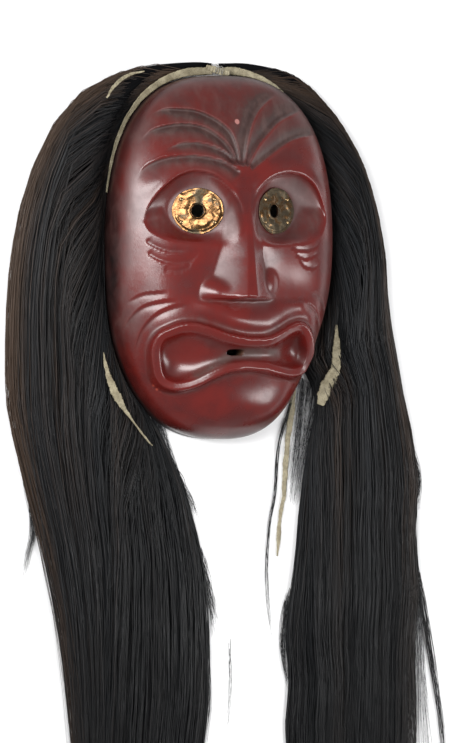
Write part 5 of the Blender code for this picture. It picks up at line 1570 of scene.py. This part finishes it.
# %% Geometry Nodes: lines to hair
def hair_tree():
    """Lines to closed tubes of their stored thickness."""
    tree, start, end = new_tree("thicken strands", (
        ("Lines", "Geometry", None), ("Thickness", "Float", 1.0), ("Profile Sides", "Int", 3),
        ("Finish", "Material", None)), "Hair")
    nodes, link = tree.nodes, tree.links.new
    to_curve = nodes.new("GeometryNodeMeshToCurve")
    stored = nodes.new("GeometryNodeInputNamedAttribute")
    stored.data_type = "FLOAT"
    stored.inputs["Name"].default_value = "thick"
    times = nodes.new("ShaderNodeMath")
    times.operation = "MULTIPLY"
    set_radius = nodes.new("GeometryNodeSetCurveRadius")
    profile = nodes.new("GeometryNodeCurvePrimitiveCircle")
    profile.inputs["Radius"].default_value = 1.0
    sweep = nodes.new("GeometryNodeCurveToMesh")
    sweep.inputs["Fill Caps"].default_value = True
    realize = nodes.new("GeometryNodeRealizeInstances")
    paint = nodes.new("GeometryNodeSetMaterial")
    shade_smooth = nodes.new("GeometryNodeSetShadeSmooth")
    link(start.outputs["Lines"], to_curve.inputs["Mesh"])
    link(to_curve.outputs["Curve"], set_radius.inputs["Curve"])
    link(stored.outputs["Attribute"], times.inputs[0])
    link(start.outputs["Thickness"], times.inputs[1])
    link(times.outputs[0], set_radius.inputs["Radius"])
    link(start.outputs["Profile Sides"], profile.inputs["Resolution"])
    link(set_radius.outputs["Curve"], sweep.inputs["Curve"])
    link(profile.outputs["Curve"], sweep.inputs["Profile Curve"])
    if "Scale" in sweep.inputs:
        radius_of_point = nodes.new("GeometryNodeInputRadius")
        link(radius_of_point.outputs["Radius"], sweep.inputs["Scale"])
    link(sweep.outputs["Mesh"], shade_smooth.inputs["Geometry"])
    link(shade_smooth.outputs["Geometry"], realize.inputs["Geometry"])
    link(realize.outputs["Geometry"], paint.inputs["Geometry"])
    link(start.outputs["Finish"], paint.inputs["Material"])
    link(paint.outputs["Geometry"], end.inputs["Hair"])
    return tree


HAIR_TREE = hair_tree()


# %% A piece of hair
def hair_piece(name, points, thick, shade, brown, finish=HAIR, slot="horsehair"):
    """A finished piece of hair or thread from its lines."""
    count, steps = thick.shape
    data = bpy.data.meshes.new(name)
    first = np.arange(count * steps).reshape(count, steps)
    edges = np.stack([first[:, :-1], first[:, 1:]], axis=-1).reshape(-1, 2)
    data.from_pydata(points.reshape(-1, 3).tolist(), edges.tolist(), [])
    for label, values in (("thick", thick), ("shade", shade), ("brown", brown)):
        store(data, label, values)
    obj = add_object(name, data)
    with_tree(obj, HAIR_TREE, Thickness=1.0, Profile_Sides=3, Finish=finish)
    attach(obj, "root")
    print(name, "triangles:", triangle_count(obj))
    return obj


# %% [markdown]
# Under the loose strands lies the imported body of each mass. A smooth dark core in its place closes
# the gaps between strands, as the buried hair does on the real mask.

# %% Core of each mass
CORE_ROWS, CORE_COLUMNS, CORE_END, CORE_SIDE = 90, 49, 0.965, 0.94
CORE_FILL, CORE_WAVE, CORE_FLOOR, RIM_CEILING = 0.62, 0.03, 0.0004, 0.0026


def hair_core(side, word):
    """The buried hair of one side: a smooth body just under the strands."""
    across = np.linspace(0.0, CORE_SIDE, CORE_COLUMNS)
    s, c = np.meshgrid(np.linspace(0.0, CORE_END, CORE_ROWS), across, indexing="ij")
    ragged = 0.05 * np.sin(across * 41.0) * np.sin(across * 17.0 + 1.0) - 0.03
    s = s * (1.0 + ragged[None, :] * smooth((s - 0.6) / 0.4))
    spot, width = on_hair(hair_bounds(side), s, c)
    top = hair_height(s, c, width) * (CORE_FILL + CORE_WAVE * np.sin(c * 52.0 + 5.0 * s))
    beside_rim = 1.0 - smooth((s - 0.38) / 0.08)
    near_rim = 1.0 - smooth((c * width - 0.0040) / 0.010)
    top = top + (np.minimum(top, RIM_CEILING) - top) * beside_rim * near_rim
    top = np.maximum(pressed(spot[..., 0], spot[..., 1], top) - 0.0004, 0.0007)
    grid = [np.concatenate([spot, z[..., None]], axis=-1).reshape(-1, 3) + FACE_PLACE
            for z in (top, np.full_like(top, CORE_FLOOR))]
    total = CORE_ROWS * CORE_COLUMNS
    upper, edge = grid_faces(CORE_ROWS, CORE_COLUMNS), border(CORE_ROWS, CORE_COLUMNS)
    faces = upper.tolist() + (upper[:, ::-1] + total).tolist()
    faces += [(edge[k], edge[k - 1], edge[k - 1] + total, edge[k] + total) for k in range(len(edge))]
    core = mesh_piece(f"hair_core_{word}", np.vstack(grid), faces, HAIR_CORE)
    turn_outward(core)
    for label in ("shade", "brown"):
        store(core.data, label, np.zeros(len(core.data.vertices)))
    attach(core, "root")
    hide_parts(f"hair_{word}")


for side, word in SIDES:
    hair_core(side, word)
for side, word in SIDES:
    numbers = strands(side)
    half = STRAND_COUNT[side] // 2
    for part, rows in (("a", slice(0, half)), ("b", slice(half, None))):
        hair_piece(f"hair_strands_{word}_{part}", *(values[rows] for values in numbers))

# %% [markdown]
# Wisps lie apart from the masses, and short tufts stick out of their edges. Each is a few dozen
# hairs that follow one drawn line. Where a fine veil of single hairs crosses the gap beside the
# jaw, the hairs run from one short line to another.

# %% Stray wisps, tufts and veils
# Each wisp: its name, its line, the number of hairs and how far they stray.
WISPS = (
    ("hair_wisp_outer_left", ((-150.0, -120.0), (-147.0, -149.0), (-142.0, -172.5), (-140.2, -196.0),
                              (-143.9, -211.6), (-147.3, -229.0)), 52, 0.0019),
    ("hair_wisp_outer_right", ((150.0, -196.0), (160.5, -246.0), (167.5, -284.0), (172.5, -314.0),
                               (177.0, -348.0), (178.5, -392.0)), 40, 0.0018),
    ("hair_wisp_centre", ((62.0, -90.0), (54.6, -116.4), (49.2, -135.0), (46.1, -169.3), (41.9, -192.2),
                          (39.9, -222.3), (41.3, -251.0), (45.3, -275.3)), 16, 0.0006),
    ("hair_tuft_jaw", ((-34.0, -146.0), (-24.0, -164.0), (-12.0, -188.0)), 22, 0.0016),
    ("hair_tuft_low", ((-14.0, -206.0), (-8.0, -226.0), (2.0, -262.0)), 22, 0.0016),
    ("hair_tuft_lower", ((-10.0, -222.0), (-4.0, -246.0), (0.0, -272.0)), 14, 0.0014),
    ("hair_tuft_inner", ((10.8, -272.0), (11.8, -300.0), (10.6, -322.0), (8.2, -345.0)), 5, 0.0005),
    ("hair_tuft_right", ((58.0, -236.0), (53.0, -262.0), (52.5, -288.0), (57.0, -310.0)), 30, 0.0012),
    ("hair_flap_right", ((142.0, -120.0), (152.0, -140.0), (158.0, -160.0), (157.0, -182.0)), 34, 0.0016),
)
# Each veil: its name, the short lines that its hairs run from and to, and their number.
VEILS = (
    ("hair_veil_left", ((-50.0, -112.0), (-40.0, -121.0)), ((-36.0, -150.0), (-20.0, -176.0)), 80),
    ("hair_veil_right", ((65.0, -84.0), (82.0, -98.0)), ((53.0, -176.0), (67.0, -182.0)), 130),
    ("hair_veil_outer", ((151.0, -198.0), (158.0, -235.0)), ((150.0, -392.0), (176.0, -392.0)), 44),
)
WISP_SEED, WISP_RADIUS, WISP_HEIGHT, WISP_WAVE = 40, (0.00014, 0.00026), (0.0005, 0.0024), 0.0009
VEIL_SEED, VEIL_RADIUS, VEIL_HEIGHT, VEIL_WAVE = 60, (0.00008, 0.00013), (0.0005, 0.0030), 0.0012
# Veil hairs show mostly the painted grey sheen.
VEIL_SHEEN, VEIL_BROWN = 0.9, 0.1
along = np.linspace(0.0, 1.0, STRAND_STEPS)[None, :]


def wisp(name, line, count, spread, seed):
    """Hairs that follow one line, each a little beside it and between its own two ends."""
    rng = np.random.default_rng(seed)
    begin, stop = rng.uniform(0.0, 0.18, (count, 1)), rng.uniform(0.72, 1.0, (count, 1))
    spot = at_fraction(flowing(placed(line)), begin + (stop - begin) * along)
    away = rng.normal(0.0, spread, (count, 1)) * (1.0 - 0.5 * along)
    away = away + WISP_WAVE * waving(rng, along, count, 0.6, 1.8)
    z = rng.uniform(*WISP_HEIGHT, (count, 1)) + 0.0 * along
    points = np.stack([spot[..., 0] + away, spot[..., 1] + 0.2 * away, z], axis=-1) + FACE_PLACE
    thick = rng.uniform(*WISP_RADIUS, (count, 1)) * (1.0 - 0.7 * along)
    shade, brown = (rng.uniform(0.0, most, (count, 1)) + 0.0 * along for most in (0.8, 0.6))
    return hair_piece(f"{name}_hairs", points, thick, shade, brown)


def veil(name, above, below, count, seed):
    """Single hairs that run from one short line to another."""
    rng = np.random.default_rng(seed)
    high, low = placed(above), placed(below)
    from_share, to_share = rng.random((count, 1)), rng.random((count, 1))
    first = high[0] + (high[1] - high[0]) * from_share
    last = low[0] + (low[1] - low[0]) * (0.6 * from_share + 0.4 * to_share)
    reached = along * rng.uniform(0.6, 1.0, (count, 1))
    spot = first[:, None] + (last - first)[:, None] * reached[..., None]
    away = VEIL_WAVE * waving(rng, along, count, 0.4, 1.4)
    z = rng.uniform(*VEIL_HEIGHT, (count, 1)) + 0.0 * along
    points = np.stack([spot[..., 0] + away, spot[..., 1], z], axis=-1) + FACE_PLACE
    thick = rng.uniform(*VEIL_RADIUS, (count, 1)) * (1.0 - 0.5 * along)
    shade, brown = np.full_like(thick, VEIL_SHEEN), np.full_like(thick, VEIL_BROWN)
    hair_piece(f"{name}_hairs", points, thick, shade, brown)


node_names = set(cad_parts)
for number, (name, line, count, spread) in enumerate(WISPS):
    hairs = wisp(name, line, count, spread, WISP_SEED + number)
    if name in node_names:
        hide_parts(name)
for number, (name, above, below, count) in enumerate(VEILS):
    veil(name, above, below, count, VEIL_SEED + number)

# %% [markdown]
# Grey thread binds the crossing at the brow. Its loops are lines too, so the same tree rounds them.

# %% Binding thread
# Each loop: its place on the face in millimetres, and how it leans.
LOOPS = ((-2.2, 134.8, 0.30), (-0.6, 134.2, 0.12), (1.2, 133.6, -0.10), (2.6, 133.2, 0.20))
LOOP_HALF, LOOP_TOP, LOOP_FOOT, LOOP_RADIUS = 0.0036, 0.0098, 0.0030, 0.00028
turn = np.linspace(0.0, math.pi, STRAND_STEPS)
swing, rise = -np.cos(turn) * LOOP_HALF, LOOP_FOOT + (LOOP_TOP - LOOP_FOOT) * np.sin(turn) ** 0.5
loops = [np.stack([x / 1000 + swing * lean, y / 1000 + swing, rise], axis=-1) for x, y, lean in LOOPS]
loops = np.array(loops) + FACE_PLACE
level = np.ones(loops.shape[:2])
hair_piece("binding_thread", loops, level * LOOP_RADIUS, level, level, THREAD, "hide")

# %% Sizes
visual_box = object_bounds()
for word, box in (("CAD", cad_box), ("visual", visual_box)):
    print(word, "size in mm:", [round((high - low) * 1000, 1) for low, high in zip(*box)])
